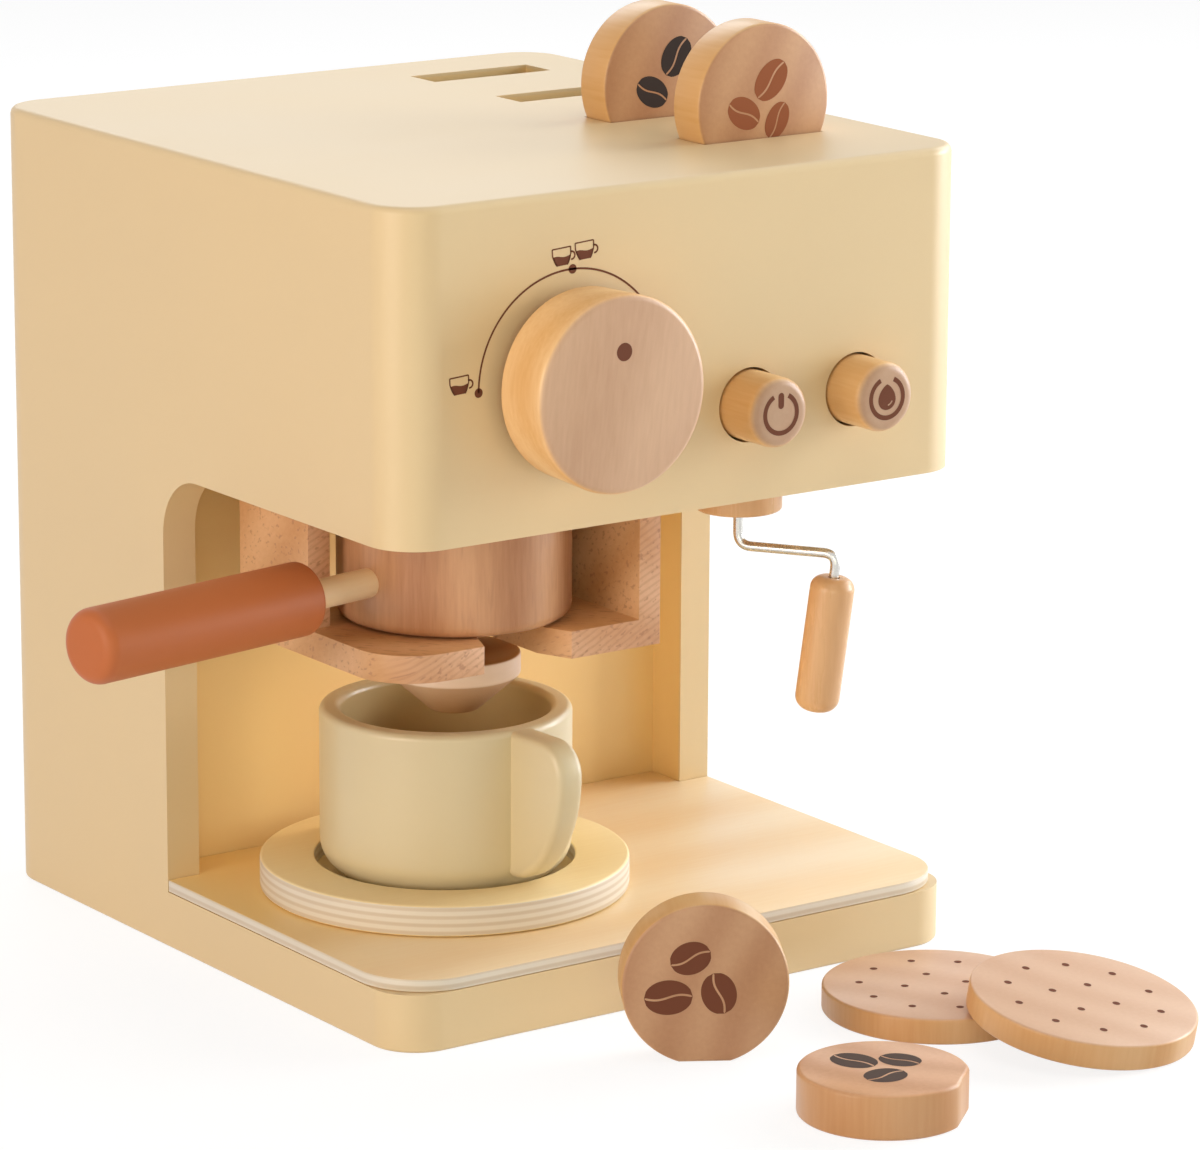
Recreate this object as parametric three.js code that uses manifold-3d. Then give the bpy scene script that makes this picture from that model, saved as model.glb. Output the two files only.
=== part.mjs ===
// A toy coffee maker of painted board and turned wood, with its cup, saucer, pods and biscuits.
// Millimetres, +Z up, front face towards -Y. The origin is the middle of the base's underside.
import * as THREE from 'three';
import { mergeVertices } from 'three/addons/utils/BufferGeometryUtils.js';
import Module from 'manifold-3d';

// Front panel, from its left side to its right
const KNOB_FROM_LEFT_SIDE = 49.2;
const KNOB_TO_POWER_BUTTON = 52.9;
const BUTTON_SPACING = 32.5;
const WATER_BUTTON_FROM_RIGHT_SIDE = 35.4;

// Housing boards
const BODY_DEPTH = 190;
const HEAD_HEIGHT = 82;
const CORNER_RADIUS = 12.5;
const TOP_EDGE_RADIUS = 2;
const SIDE_BOARD = 9.3;
const FRONT_BOARD = 10;
const REAR_BOARD = 9;
const TOP_BOARD = 9;
const NICHE_BOARD = 9;
const HEAD_FLOOR_BOARD = 9;
const BASE_BOARD = 14.7;
const BAY_DEPTH = 107.5;
const BAY_CORNER_RADIUS = 16;
const NICHE_RECESS = 12.5;

// Veneered plate on the base
const PLATE_THICKNESS = 3.2;
const PLATE_CORNER_RADIUS = 18;

// Clearances: glued faces, resting faces, turning or sliding shafts, and how far cutters overrun
const GLUE_LINE = 0.1;
const SEAT_GAP = 0.3;
const RUNNING_GAP = 0.3;
const OVERRUN = 1;

// Pod slots in the lid
const SLOT_COUNT = 4;
const SLOT_PITCH = 40;
const SLOT_ROW_FROM_RIGHT_SIDE = 37.5;
const SLOT_ROW_BEHIND_MIDDLE = 6.5;
const SLOT_SIDE_PLAY = 0.4;

// Pods and biscuits
const POD_RADIUS = 20.2;
const POD_THICKNESS = 11;
const POD_FLAT_HALF_ANGLE = THREE.MathUtils.degToRad(18);
const POD_EDGE = 0.8;
const POD_CENTRE_ABOVE_LID = 8.5;
const BISCUIT_RADIUS = 28;
const BISCUIT_THICKNESS = 6.5;
const BISCUIT_EDGE = 0.9;

// Brew knob
const KNOB_ABOVE_HEAD_UNDERSIDE = 36.6;
const KNOB_FRONT_RADIUS = 24;
const KNOB_REAR_RADIUS = 23.2;
const KNOB_LENGTH = 21.3;
const KNOB_STANDOFF = 3.4;
const KNOB_BOSS_RADIUS = 12;
const KNOB_EDGE = 1.8;
const KNOB_DOWEL_RADIUS = 5;
const KNOB_DOWEL_IN_KNOB = 11;
const KNOB_STOP_RADIUS = 14;
const KNOB_STOP_THICKNESS = 8;

// Push buttons
const BUTTON_RADIUS = 8.7;
const BUTTON_HOLE_PLAY = 0.6;
const BUTTON_PROUD = 12.5;
const BUTTON_EDGE = 2.4;
const BUTTON_FLANGE_LIP = 3.1;
const BUTTON_FLANGE_THICKNESS = 4;
const BUTTON_STEM_RADIUS = 3.2;
const BUTTON_STEM_BEHIND_GUIDE = 4;
const BUTTON_FLANGE_ABOVE_HEAD_FLOOR = 3.4;
const SPRING_OVER_STEM = 1.6;
const SPRING_WIRE_RADIUS = 0.4;
const SPRING_TURNS = 6;
const GUIDE_THICKNESS = 8;
const GUIDE_MARGIN = 6;
const GUIDE_BEHIND_WASHER = 1.3;

// Catch under the head, and the filter that hangs in it
const FILTER_FROM_LEFT_SIDE = 55.5;
const FILTER_BEHIND_FRONT = 59.8;
const BASKET_RADIUS = 29.4;
const BASKET_HEIGHT = 31.6;
const BASKET_EDGE = 2.8;
const BASKET_RIM_EDGE = 0.8;
const BASKET_BORE_RADIUS = 22.5;
const BASKET_BORE_DEPTH = 16;
const BASKET_HEADROOM = 1.8;
const FLANGE_THICKNESS = 7;
const CATCH_WALL = 6.4;
const CATCH_SIDE_PLAY = 4;
const CATCH_AHEAD = 32.7;
const CATCH_BEHIND = 36.8;
const LEFT_WALL_SETBACK = 5;
const FLANGE_CORNER_RADIUS = 15;
const MOUTH_FLARE = 4;
const MOUTH_DEPTH = 9.5;
const NECK_RADIUS = 6;
const NECK_SIDE_PLAY = 3;
const NECK_IN_BASKET = 7;
const NOZZLE_GAP = 2.9;
const NOZZLE_RIM_RADIUS = 16.7;
const NOZZLE_RIM_HEIGHT = 5.4;
const NOZZLE_TIP_RADIUS = 6;
const NOZZLE_CONE_HEIGHT = 9.5;

// Filter handle
const HANDLE_ANGLE = THREE.MathUtils.degToRad(-169.9);
const HANDLE_ABOVE_BASKET_FLOOR = 12.2;
const DOWEL_RADIUS = 3.7;
const DOWEL_IN_BASKET = 14;
const DOWEL_IN_GRIP = 14;
const DOWEL_SHOWING = 21.2;
const GRIP_LENGTH = 69.3;
const GRIP_RADIUS = 9.2;
const GRIP_INNER_EDGE = 2.2;
const GRIP_OUTER_EDGE = 3.4;

// Saucer and cup
const SAUCER_RIGHT_OF_FILTER = 1.1;
const SAUCER_FROM_NICHE = 7.4;
const SAUCER_RADIUS = 46.8;
const SAUCER_THICKNESS = 8;
const SAUCER_EDGE = 0.8;
const RECESS_SIDE_PLAY = 1.1;
const RECESS_DEPTH = 4.6;
const CUP_RIGHT_OF_SAUCER = 0.5;
const CUP_BEHIND_SAUCER = 0.2;
const CUP_RADIUS = 31.9;
const CUP_HEIGHT = 43.2;
const CUP_FOOT_RADIUS = 9;
const CUP_WALL = 5.4;
const CUP_RIM_EDGE = 1.8;
const CUP_FLOOR = 6;
const CUP_BORE_FOOT_RADIUS = 5;
const CUP_HANDLE_REACH = 19.4;
const CUP_HANDLE_THICKNESS = 7.8;
const CUP_HANDLE_BELOW_RIM = 0.2;
const CUP_HANDLE_ABOVE_FOOT = 5.5;
const CUP_HANDLE_EDGE = 2;
const CUP_HANDLE_CORNER = 8.5;
const CUP_HANDLE_ANGLE = THREE.MathUtils.degToRad(-86.5);

// Steam wand
const WAND_RIGHT_OF_FILTER = 64.4;
const WAND_BEHIND_FRONT = 28;
const COLLAR_RADIUS = 11;
const COLLAR_THICKNESS = 9.4;
const COLLAR_EDGE = 0.8;
const ROD_RADIUS = 1.25;
const ROD_ABOVE_FLOOR = 4;
const ROD_DROP = 9.6;
const ROD_RUN = 26;
const ROD_BEND_RADIUS = 3.6;
const ROD_LEG_TO_HANDLE = 6;
const ROD_LEG_IN_HANDLE = 20;
const ROD_LEG_TILT = THREE.MathUtils.degToRad(7);
const WAND_ANGLE = THREE.MathUtils.degToRad(-55);
const WAND_HANDLE_RADIUS = 5.6;
const WAND_HANDLE_LENGTH = 35;
const WAND_HANDLE_TOP_EDGE = 3;
const WAND_HANDLE_FOOT_EDGE = 3.6;
const ROD_WASHER_RADIUS = 5;
const ROD_WASHER_THICKNESS = 1;

// Screws that hold the catch
const SCREW_HEAD_RADIUS = 3.2;
const SCREW_HEAD_HEIGHT = 2;
const SCREW_SHANK_RADIUS = 1.6;
const SCREW_IN_WALL = 11;
const SCREW_FROM_WALL_END = 7;
const SCREW_BEHIND_GUIDE = 8;

// Where the loose pieces lie in front of the machine
const STANDING_POD_X = -25.7;
const STANDING_POD_AHEAD = 42;
const STANDING_POD_FACING = THREE.MathUtils.degToRad(-121);
const LYING_POD_X = -13;
const LYING_POD_AHEAD = 94.6;
const LYING_POD_TURN = THREE.MathUtils.degToRad(40);
const BISCUIT_X = 45;
const BISCUIT_AHEAD = 41.6;
const LEAN_REACH = 40.4;
const LEAN_DIRECTION = THREE.MathUtils.degToRad(110.4);

// Facets
const WIDE_STEPS = 56;
const ROUND_STEPS = 36;
const SMALL_STEPS = 20;
const EDGE_STEPS = 2;
const SOFT_STEPS = 4;
const CORNER_STEPS = 10;
const ROD_SIDES = 8;
const ROD_PATH_STEPS = 56;
const WIRE_SIDES = 5;
const WIRE_STEPS_PER_TURN = 8;
const MERGE_DISTANCE = 1e-4;

// Widths and places from side to side, worked out from the sizes above
const BUTTONS_ACROSS = BUTTON_SPACING + WATER_BUTTON_FROM_RIGHT_SIDE;
const BODY_WIDTH = KNOB_FROM_LEFT_SIDE + KNOB_TO_POWER_BUTTON + BUTTONS_ACROSS;
const HALF_WIDTH = BODY_WIDTH / 2;
const INNER_X = HALF_WIDTH - SIDE_BOARD - GLUE_LINE;
const KNOB_X = KNOB_FROM_LEFT_SIDE - HALF_WIDTH;
const POWER_BUTTON_X = KNOB_X + KNOB_TO_POWER_BUTTON;
const FILTER_X = FILTER_FROM_LEFT_SIDE - HALF_WIDTH;
const SAUCER_X = FILTER_X + SAUCER_RIGHT_OF_FILTER;
const CUP_X = SAUCER_X + CUP_RIGHT_OF_SAUCER;
const WAND_X = FILTER_X + WAND_RIGHT_OF_FILTER;
const SLOT_ROW_X = HALF_WIDTH - SLOT_ROW_FROM_RIGHT_SIDE;

// Places from front to back
const FRONT_Y = -BODY_DEPTH / 2;
const REAR_Y = BODY_DEPTH / 2;
const PANEL_BACK_Y = FRONT_Y + FRONT_BOARD;
const BAY_EDGE_Y = FRONT_Y + BAY_DEPTH;
const NICHE_Y = BAY_EDGE_Y + NICHE_RECESS;
const SAUCER_Y = NICHE_Y - SAUCER_FROM_NICHE - SAUCER_RADIUS;
const CUP_Y = SAUCER_Y + CUP_BEHIND_SAUCER;
const FILTER_Y = FRONT_Y + FILTER_BEHIND_FRONT;
const WAND_Y = FRONT_Y + WAND_BEHIND_FRONT;
const GUIDE_Y = WAND_Y + ROD_WASHER_RADIUS + GUIDE_BEHIND_WASHER;
const BUTTON_FLANGE_BACK_Y = PANEL_BACK_Y + SEAT_GAP + BUTTON_FLANGE_THICKNESS;

// Sizes that follow from the pieces they hold
const BUTTON_FLANGE_RADIUS = BUTTON_RADIUS + BUTTON_FLANGE_LIP;
const SPRING_LENGTH = GUIDE_Y - BUTTON_FLANGE_BACK_Y;
const SPRING_RADIUS = BUTTON_STEM_RADIUS + SPRING_OVER_STEM;
const CATCH_HALF_WIDTH = BASKET_RADIUS + CATCH_SIDE_PLAY + CATCH_WALL;
const SLOT_HALF_WIDTH = NECK_RADIUS + NECK_SIDE_PLAY;
const MOUTH_HALF_WIDTH = SLOT_HALF_WIDTH + MOUTH_FLARE;
const GRIP_START = BASKET_RADIUS + DOWEL_SHOWING;
const RECESS_RADIUS = CUP_RADIUS + RECESS_SIDE_PLAY;
const NOZZLE_HEIGHT = NOZZLE_CONE_HEIGHT + NOZZLE_RIM_HEIGHT;

// Levels, stacked up from the table to the lid
const PLATE_TOP_Z = BASE_BOARD + GLUE_LINE + PLATE_THICKNESS;
const SAUCER_Z = PLATE_TOP_Z + SEAT_GAP;
const CUP_Z = SAUCER_Z + SAUCER_THICKNESS - RECESS_DEPTH + SEAT_GAP;
const NOZZLE_TOP_Z = CUP_Z + CUP_HEIGHT + SEAT_GAP + NOZZLE_HEIGHT;
const FLANGE_BOTTOM_Z = NOZZLE_TOP_Z + NOZZLE_GAP;
const FLANGE_TOP_Z = FLANGE_BOTTOM_Z + FLANGE_THICKNESS;
const BASKET_Z = FLANGE_TOP_Z + SEAT_GAP;
const HEAD_Z = BASKET_Z + BASKET_HEIGHT + BASKET_HEADROOM;
const HEAD_FLOOR_TOP_Z = HEAD_Z + HEAD_FLOOR_BOARD;
const BUTTON_Z = HEAD_FLOOR_TOP_Z + BUTTON_FLANGE_ABOVE_HEAD_FLOOR + BUTTON_FLANGE_RADIUS;
const KNOB_Z = HEAD_Z + KNOB_ABOVE_HEAD_UNDERSIDE;
const BODY_HEIGHT = HEAD_Z + HEAD_HEIGHT;
const LID_Z = BODY_HEIGHT - TOP_BOARD;
const QUARTER_TURN = Math.PI / 2;
const HALF_TURN = Math.PI;

const wasm = await Module();
wasm.setup();

// A closed three.js geometry as a solid that can be cut and joined
function solid(geometry) {
  const bare = geometry.clone();
  bare.deleteAttribute('normal');
  bare.deleteAttribute('uv');
  const merged = mergeVertices(bare, MERGE_DISTANCE);
  const vertProperties = merged.attributes.position.array;
  const triVerts = new Uint32Array(merged.index.array);
  return new wasm.Manifold(new wasm.Mesh({ numProp: 3, vertProperties, triVerts }));
}

// A cut solid as a geometry again
function surface(body) {
  const mesh = body.getMesh();
  const geometry = new THREE.BufferGeometry();
  geometry.setAttribute('position', new THREE.BufferAttribute(mesh.vertProperties, 3));
  geometry.setIndex(new THREE.BufferAttribute(mesh.triVerts, 1));
  geometry.computeVertexNormals();
  return geometry;
}

// A box between two corners, with its faces exactly on them
function block(low, high) {
  const geometry = new THREE.BoxGeometry();
  const place = geometry.attributes.position;
  for (let i = 0; i < place.count; i++) {
    const x = place.getX(i) < 0 ? low[0] : high[0];
    const y = place.getY(i) < 0 ? low[1] : high[1];
    const z = place.getZ(i) < 0 ? low[2] : high[2];
    place.setXYZ(i, x, y, z);
  }
  return geometry;
}

// An outline in X and Y raised from one level to another; an arc gets two facets for each
// curve segment, so the number of steps is halved
function prism(outline, bottom, top, steps = CORNER_STEPS) {
  const options = { depth: top - bottom, bevelEnabled: false, curveSegments: steps / 2 };
  const geometry = new THREE.ExtrudeGeometry(outline, options);
  const place = geometry.attributes.position;
  for (let i = 0; i < place.count; i++) {
    place.setZ(i, place.getZ(i) > 0 ? top : bottom);
  }
  return geometry;
}

// The same with both its edges rounded
function softPrism(outline, bottom, top, edge, steps = CORNER_STEPS) {
  const geometry = new THREE.ExtrudeGeometry(outline, {
    depth: top - bottom - 2 * edge,
    bevelThickness: edge,
    bevelSize: edge,
    bevelOffset: -edge,
    bevelSegments: EDGE_STEPS,
    curveSegments: steps / 2,
  });
  return geometry.translate(0, 0, bottom + edge);
}

// A profile of [radius, height] points turned about Z
function turned(profile, steps = ROUND_STEPS) {
  const points = profile.map(([radius, height]) => new THREE.Vector2(radius, height));
  return new THREE.LatheGeometry(points, steps).rotateX(QUARTER_TURN);
}

// Profile points round a quarter circle, from one angle to another
function edgeArc(radius, height, edge, from, to, steps = EDGE_STEPS) {
  const points = [];
  for (let i = 0; i <= steps; i++) {
    const angle = from + ((to - from) * i) / steps;
    points.push([radius + edge * Math.cos(angle), height + edge * Math.sin(angle)]);
  }
  return points;
}

// A round bar between two points
function bar(from, to, radius, steps = SMALL_STEPS) {
  const start = new THREE.Vector3(...from);
  const run = new THREE.Vector3(...to).sub(start);
  const geometry = new THREE.CylinderGeometry(radius, radius, run.length(), steps);
  const up = new THREE.Vector3(0, 1, 0);
  const turn = new THREE.Quaternion().setFromUnitVectors(up, run.clone().normalize());
  geometry.applyQuaternion(turn);
  const middle = start.addScaledVector(run, 1 / 2);
  return geometry.translate(middle.x, middle.y, middle.z);
}

function cut(geometry, ...cutters) {
  return surface(cutters.reduce((body, cutter) => body.subtract(solid(cutter)), solid(geometry)));
}

function join(geometry, ...others) {
  return surface(others.reduce((body, other) => body.add(solid(other)), solid(geometry)));
}

function common(geometry, other) {
  return surface(solid(geometry).intersect(solid(other)));
}

function roundedRectangle(width, depth, radius) {
  const x = width / 2 - radius;
  const y = depth / 2 - radius;
  const outline = new THREE.Shape();
  outline.absarc(x, -y, radius, -QUARTER_TURN, 0);
  outline.absarc(x, y, radius, 0, QUARTER_TURN);
  outline.absarc(-x, y, radius, QUARTER_TURN, HALF_TURN);
  outline.absarc(-x, -y, radius, HALF_TURN, HALF_TURN + QUARTER_TURN);
  return outline;
}

// Finishes
function finish(color, roughness, metalness = 0) {
  return () => new THREE.MeshStandardMaterial({ color, roughness, metalness });
}
const creamPaint = finish(0xe8cfa0, 0.55);
const terracottaPaint = finish(0xb8673f, 0.5);
const beech = finish(0xd2a079, 0.6);
const maple = finish(0xdcb186, 0.55);
const birchPly = finish(0xeacb98, 0.6);
const paleDowel = finish(0xd8c096, 0.55);
const pinewood = finish(0xdcc08d, 0.7);
const steel = finish(0xb9b6ae, 0.3, 1);
const zinc = finish(0xc9c4b4, 0.4, 1);

const machine = new THREE.Group();
machine.name = 'toy_coffee_maker';

function add(parent, name, geometry, makeMaterial) {
  const mesh = new THREE.Mesh(geometry, makeMaterial());
  mesh.name = name;
  parent.add(mesh);
  return mesh;
}

// The whole body's outline in plan, which every outer board is trimmed to
function bodyEnvelope() {
  const plan = roundedRectangle(BODY_WIDTH, BODY_DEPTH, CORNER_RADIUS);
  return prism(plan, -OVERRUN, BODY_HEIGHT + OVERRUN);
}

// A side board: a column behind and the head's flank in front, round the open bay
function sideBoard(side) {
  const foot = BASE_BOARD + GLUE_LINE;
  const head = LID_Z - GLUE_LINE;
  const profile = new THREE.Shape();
  profile.moveTo(BAY_EDGE_Y, foot);
  profile.lineTo(REAR_Y, foot);
  profile.lineTo(REAR_Y, head);
  profile.lineTo(FRONT_Y, head);
  profile.lineTo(FRONT_Y, HEAD_Z);
  const arcY = BAY_EDGE_Y - BAY_CORNER_RADIUS;
  const arcZ = HEAD_Z - BAY_CORNER_RADIUS;
  profile.lineTo(arcY, HEAD_Z);
  profile.absarc(arcY, arcZ, BAY_CORNER_RADIUS, QUARTER_TURN, 0, true);
  const outer = side * HALF_WIDTH;
  const inner = side * (HALF_WIDTH - SIDE_BOARD);
  const board = prism(profile, Math.min(outer, inner), Math.max(outer, inner));
  const yAxis = new THREE.Vector3(0, 1, 0);
  const zAxis = new THREE.Vector3(0, 0, 1);
  const xAxis = new THREE.Vector3(1, 0, 0);
  board.applyMatrix4(new THREE.Matrix4().makeBasis(yAxis, zAxis, xAxis));
  return common(board, bodyEnvelope());
}

function frontPanel() {
  const low = [-INNER_X, FRONT_Y, HEAD_Z];
  const high = [INNER_X, PANEL_BACK_Y, LID_Z - GLUE_LINE];
  const board = common(block(low, high), bodyEnvelope());
  const hole = (x, z, radius) => {
    return bar([x, FRONT_Y - OVERRUN, z], [x, PANEL_BACK_Y + OVERRUN, z], radius, ROUND_STEPS);
  };
  const buttonHoles = buttonPlaces().map((x) => hole(x, BUTTON_Z, BUTTON_RADIUS + BUTTON_HOLE_PLAY));
  const dowelHole = hole(KNOB_X, KNOB_Z, KNOB_DOWEL_RADIUS + RUNNING_GAP);
  return cut(board, dowelHole, ...buttonHoles);
}

function rearPanel() {
  const low = [-INNER_X, REAR_Y - REAR_BOARD, BASE_BOARD + GLUE_LINE];
  const high = [INNER_X, REAR_Y, LID_Z - GLUE_LINE];
  return common(block(low, high), bodyEnvelope());
}

// Board under the head, drilled for the wand's rod and the catch's screws
function headFloor() {
  const low = [-INNER_X, PANEL_BACK_Y + GLUE_LINE, HEAD_Z];
  const high = [INNER_X, NICHE_Y + NICHE_BOARD, HEAD_FLOOR_TOP_Z];
  const hole = (x, y, radius) => {
    return bar([x, y, HEAD_Z - OVERRUN], [x, y, HEAD_FLOOR_TOP_Z + OVERRUN], radius);
  };
  const screwHoles = screwPlaces().map(([x, y]) => hole(x, y, SCREW_SHANK_RADIUS + RUNNING_GAP));
  return cut(block(low, high), hole(WAND_X, WAND_Y, ROD_RADIUS + RUNNING_GAP), ...screwHoles);
}

function nichePanel() {
  const low = [-INNER_X, NICHE_Y, BASE_BOARD + GLUE_LINE];
  const high = [INNER_X, NICHE_Y + NICHE_BOARD, HEAD_Z - GLUE_LINE];
  return block(low, high);
}

// The row of pod slots, from the rear one forwards
function slotPlaces() {
  const places = [];
  for (let i = 0; i < SLOT_COUNT; i++) {
    const fromRear = (SLOT_COUNT - 1) / 2 - i;
    places.push(SLOT_ROW_BEHIND_MIDDLE + fromRear * SLOT_PITCH);
  }
  return places;
}

// The lid: its rim is rounded above, and its slots are as long as a seated pod's chord
function topPanel() {
  const plan = roundedRectangle(BODY_WIDTH, BODY_DEPTH, CORNER_RADIUS);
  const hidden = TOP_EDGE_RADIUS + OVERRUN;
  const rounded = softPrism(plan, LID_Z - hidden, BODY_HEIGHT, TOP_EDGE_RADIUS);
  const reach = [HALF_WIDTH + OVERRUN, REAR_Y + OVERRUN];
  const keep = block([-reach[0], -reach[1], LID_Z], [...reach, BODY_HEIGHT + OVERRUN]);
  const halfChord = Math.sqrt(POD_RADIUS ** 2 - POD_CENTRE_ABOVE_LID ** 2) + SEAT_GAP;
  const halfWidth = POD_THICKNESS / 2 + SLOT_SIDE_PLAY;
  const slots = slotPlaces().map((y) => {
    const low = [SLOT_ROW_X - halfChord, y - halfWidth, LID_Z - OVERRUN];
    const high = [SLOT_ROW_X + halfChord, y + halfWidth, BODY_HEIGHT + OVERRUN];
    return block(low, high);
  });
  return cut(common(rounded, keep), ...slots);
}

// Thin veneered plate: flush with the base in front of the side boards, narrower between them
function basePlate() {
  const radius = PLATE_CORNER_RADIUS;
  const arcX = HALF_WIDTH - radius;
  const arcY = FRONT_Y + radius;
  const stepY = BAY_EDGE_Y - GLUE_LINE;
  const backY = NICHE_Y - GLUE_LINE;
  const plan = new THREE.Shape();
  plan.absarc(arcX, arcY, radius, -QUARTER_TURN, 0);
  plan.lineTo(HALF_WIDTH, stepY);
  plan.lineTo(INNER_X, stepY);
  plan.lineTo(INNER_X, backY);
  plan.lineTo(-INNER_X, backY);
  plan.lineTo(-INNER_X, stepY);
  plan.lineTo(-HALF_WIDTH, stepY);
  plan.absarc(-arcX, arcY, radius, HALF_TURN, HALF_TURN + QUARTER_TURN);
  return prism(plan, BASE_BOARD + GLUE_LINE, PLATE_TOP_Z);
}

function addHousing() {
  const plan = roundedRectangle(BODY_WIDTH, BODY_DEPTH, CORNER_RADIUS);
  add(machine, 'base_board', prism(plan, 0, BASE_BOARD), creamPaint);
  add(machine, 'base_plate', basePlate(), birchPly);
  add(machine, 'left_side_panel', sideBoard(-1), creamPaint);
  add(machine, 'right_side_panel', sideBoard(1), creamPaint);
  add(machine, 'rear_panel', rearPanel(), creamPaint);
  add(machine, 'niche_back_panel', nichePanel(), creamPaint);
  add(machine, 'head_floor_panel', headFloor(), creamPaint);
  add(machine, 'front_panel', frontPanel(), creamPaint);
  add(machine, 'top_panel', topPanel(), creamPaint);
}

// A turned piece on the front panel stands along +Z in its own frame, which faces -Y here
function panelGroup(x, z) {
  const group = new THREE.Group();
  group.position.set(x, FRONT_Y, z);
  group.rotation.x = QUARTER_TURN;
  machine.add(group);
  return group;
}

function knobProfile() {
  const boreTop = KNOB_DOWEL_IN_KNOB + SEAT_GAP;
  const bore = KNOB_DOWEL_RADIUS + GLUE_LINE;
  const edgeZ = KNOB_LENGTH - KNOB_EDGE;
  return [
    [0, boreTop],
    [bore, boreTop],
    [bore, SEAT_GAP],
    [KNOB_BOSS_RADIUS, SEAT_GAP],
    [KNOB_BOSS_RADIUS, KNOB_STANDOFF],
    [KNOB_REAR_RADIUS - KNOB_EDGE / 2, KNOB_STANDOFF],
    [KNOB_REAR_RADIUS, KNOB_STANDOFF + KNOB_EDGE / 2],
    ...edgeArc(KNOB_FRONT_RADIUS - KNOB_EDGE, edgeZ, KNOB_EDGE, 0, QUARTER_TURN),
    [0, KNOB_LENGTH],
  ];
}

// The knob turns on a dowel that passes the panel and is held by a disc behind it
function addKnob() {
  const group = panelGroup(KNOB_X, KNOB_Z);
  const stopFront = -FRONT_BOARD - SEAT_GAP;
  const stopBack = stopFront - KNOB_STOP_THICKNESS;
  const dowel = bar([0, 0, stopBack], [0, 0, KNOB_DOWEL_IN_KNOB], KNOB_DOWEL_RADIUS, ROUND_STEPS);
  const bore = KNOB_DOWEL_RADIUS + GLUE_LINE;
  const stop = turned([
    [bore, stopBack],
    [KNOB_STOP_RADIUS, stopBack],
    [KNOB_STOP_RADIUS, stopFront],
    [bore, stopFront],
    [bore, stopBack],
  ]);
  add(group, 'brew_knob', turned(knobProfile(), WIDE_STEPS), maple);
  add(group, 'knob_dowel', dowel, pinewood);
  add(group, 'knob_stop_disc', stop, pinewood);
}

function buttonPlaces() {
  return [POWER_BUTTON_X, POWER_BUTTON_X + BUTTON_SPACING];
}

// Cap, flange and stem are turned in one piece
function buttonProfile() {
  const flangeFront = -FRONT_BOARD - SEAT_GAP;
  const flangeBack = flangeFront - BUTTON_FLANGE_THICKNESS;
  const stemEnd = flangeBack - SPRING_LENGTH - GUIDE_THICKNESS - BUTTON_STEM_BEHIND_GUIDE;
  const edgeZ = BUTTON_PROUD - BUTTON_EDGE;
  return [
    [0, stemEnd],
    [BUTTON_STEM_RADIUS, stemEnd],
    [BUTTON_STEM_RADIUS, flangeBack],
    [BUTTON_FLANGE_RADIUS, flangeBack],
    [BUTTON_FLANGE_RADIUS, flangeFront],
    [BUTTON_RADIUS, flangeFront],
    ...edgeArc(BUTTON_RADIUS - BUTTON_EDGE, edgeZ, BUTTON_EDGE, 0, QUARTER_TURN),
    [0, BUTTON_PROUD],
  ];
}

// A coil of wire round Z that climbs from its start by one pitch a turn
class Coil extends THREE.Curve {
  constructor(radius, start, pitch, turns) {
    super();
    Object.assign(this, { radius, start, pitch, turns });
  }

  getPoint(t, target = new THREE.Vector3()) {
    const angle = 2 * Math.PI * this.turns * t;
    const height = this.start + this.pitch * this.turns * t;
    return target.set(this.radius * Math.cos(angle), this.radius * Math.sin(angle), height);
  }
}

// The same round section all along a path
function tube(path, radius, steps, sides) {
  const section = new THREE.Shape().absarc(0, 0, radius, 0, 2 * Math.PI);
  const options = { steps, extrudePath: path, curveSegments: sides / 2, bevelEnabled: false };
  return new THREE.ExtrudeGeometry(section, options);
}

function buttonSpring() {
  const back = -FRONT_BOARD - SEAT_GAP - BUTTON_FLANGE_THICKNESS - SPRING_LENGTH;
  const endRoom = SPRING_WIRE_RADIUS + SEAT_GAP;
  const pitch = (SPRING_LENGTH - 2 * endRoom) / SPRING_TURNS;
  const coil = new Coil(SPRING_RADIUS, back + endRoom, pitch, SPRING_TURNS);
  return tube(coil, SPRING_WIRE_RADIUS, SPRING_TURNS * WIRE_STEPS_PER_TURN, WIRE_SIDES);
}

// The board behind the panel that both stems slide in, standing on the head's floor
function buttonGuide() {
  const [left, right] = buttonPlaces();
  const side = BUTTON_FLANGE_RADIUS + GUIDE_MARGIN;
  const topZ = BUTTON_Z + BUTTON_STEM_RADIUS + GUIDE_MARGIN;
  const low = [left - side, GUIDE_Y, HEAD_FLOOR_TOP_Z + GLUE_LINE];
  const high = [right + side, GUIDE_Y + GUIDE_THICKNESS, topZ];
  const holes = buttonPlaces().map((x) => {
    const from = [x, GUIDE_Y - OVERRUN, BUTTON_Z];
    const to = [x, GUIDE_Y + GUIDE_THICKNESS + OVERRUN, BUTTON_Z];
    return bar(from, to, BUTTON_STEM_RADIUS + RUNNING_GAP);
  });
  return cut(block(low, high), ...holes);
}

function addButtons() {
  const names = ['power', 'water'];
  buttonPlaces().forEach((x, i) => {
    const group = panelGroup(x, BUTTON_Z);
    add(group, names[i] + '_button', turned(buttonProfile()), maple);
    add(group, names[i] + '_button_spring', buttonSpring(), steel);
  });
  add(machine, 'button_guide_board', buttonGuide(), pinewood);
}

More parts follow.
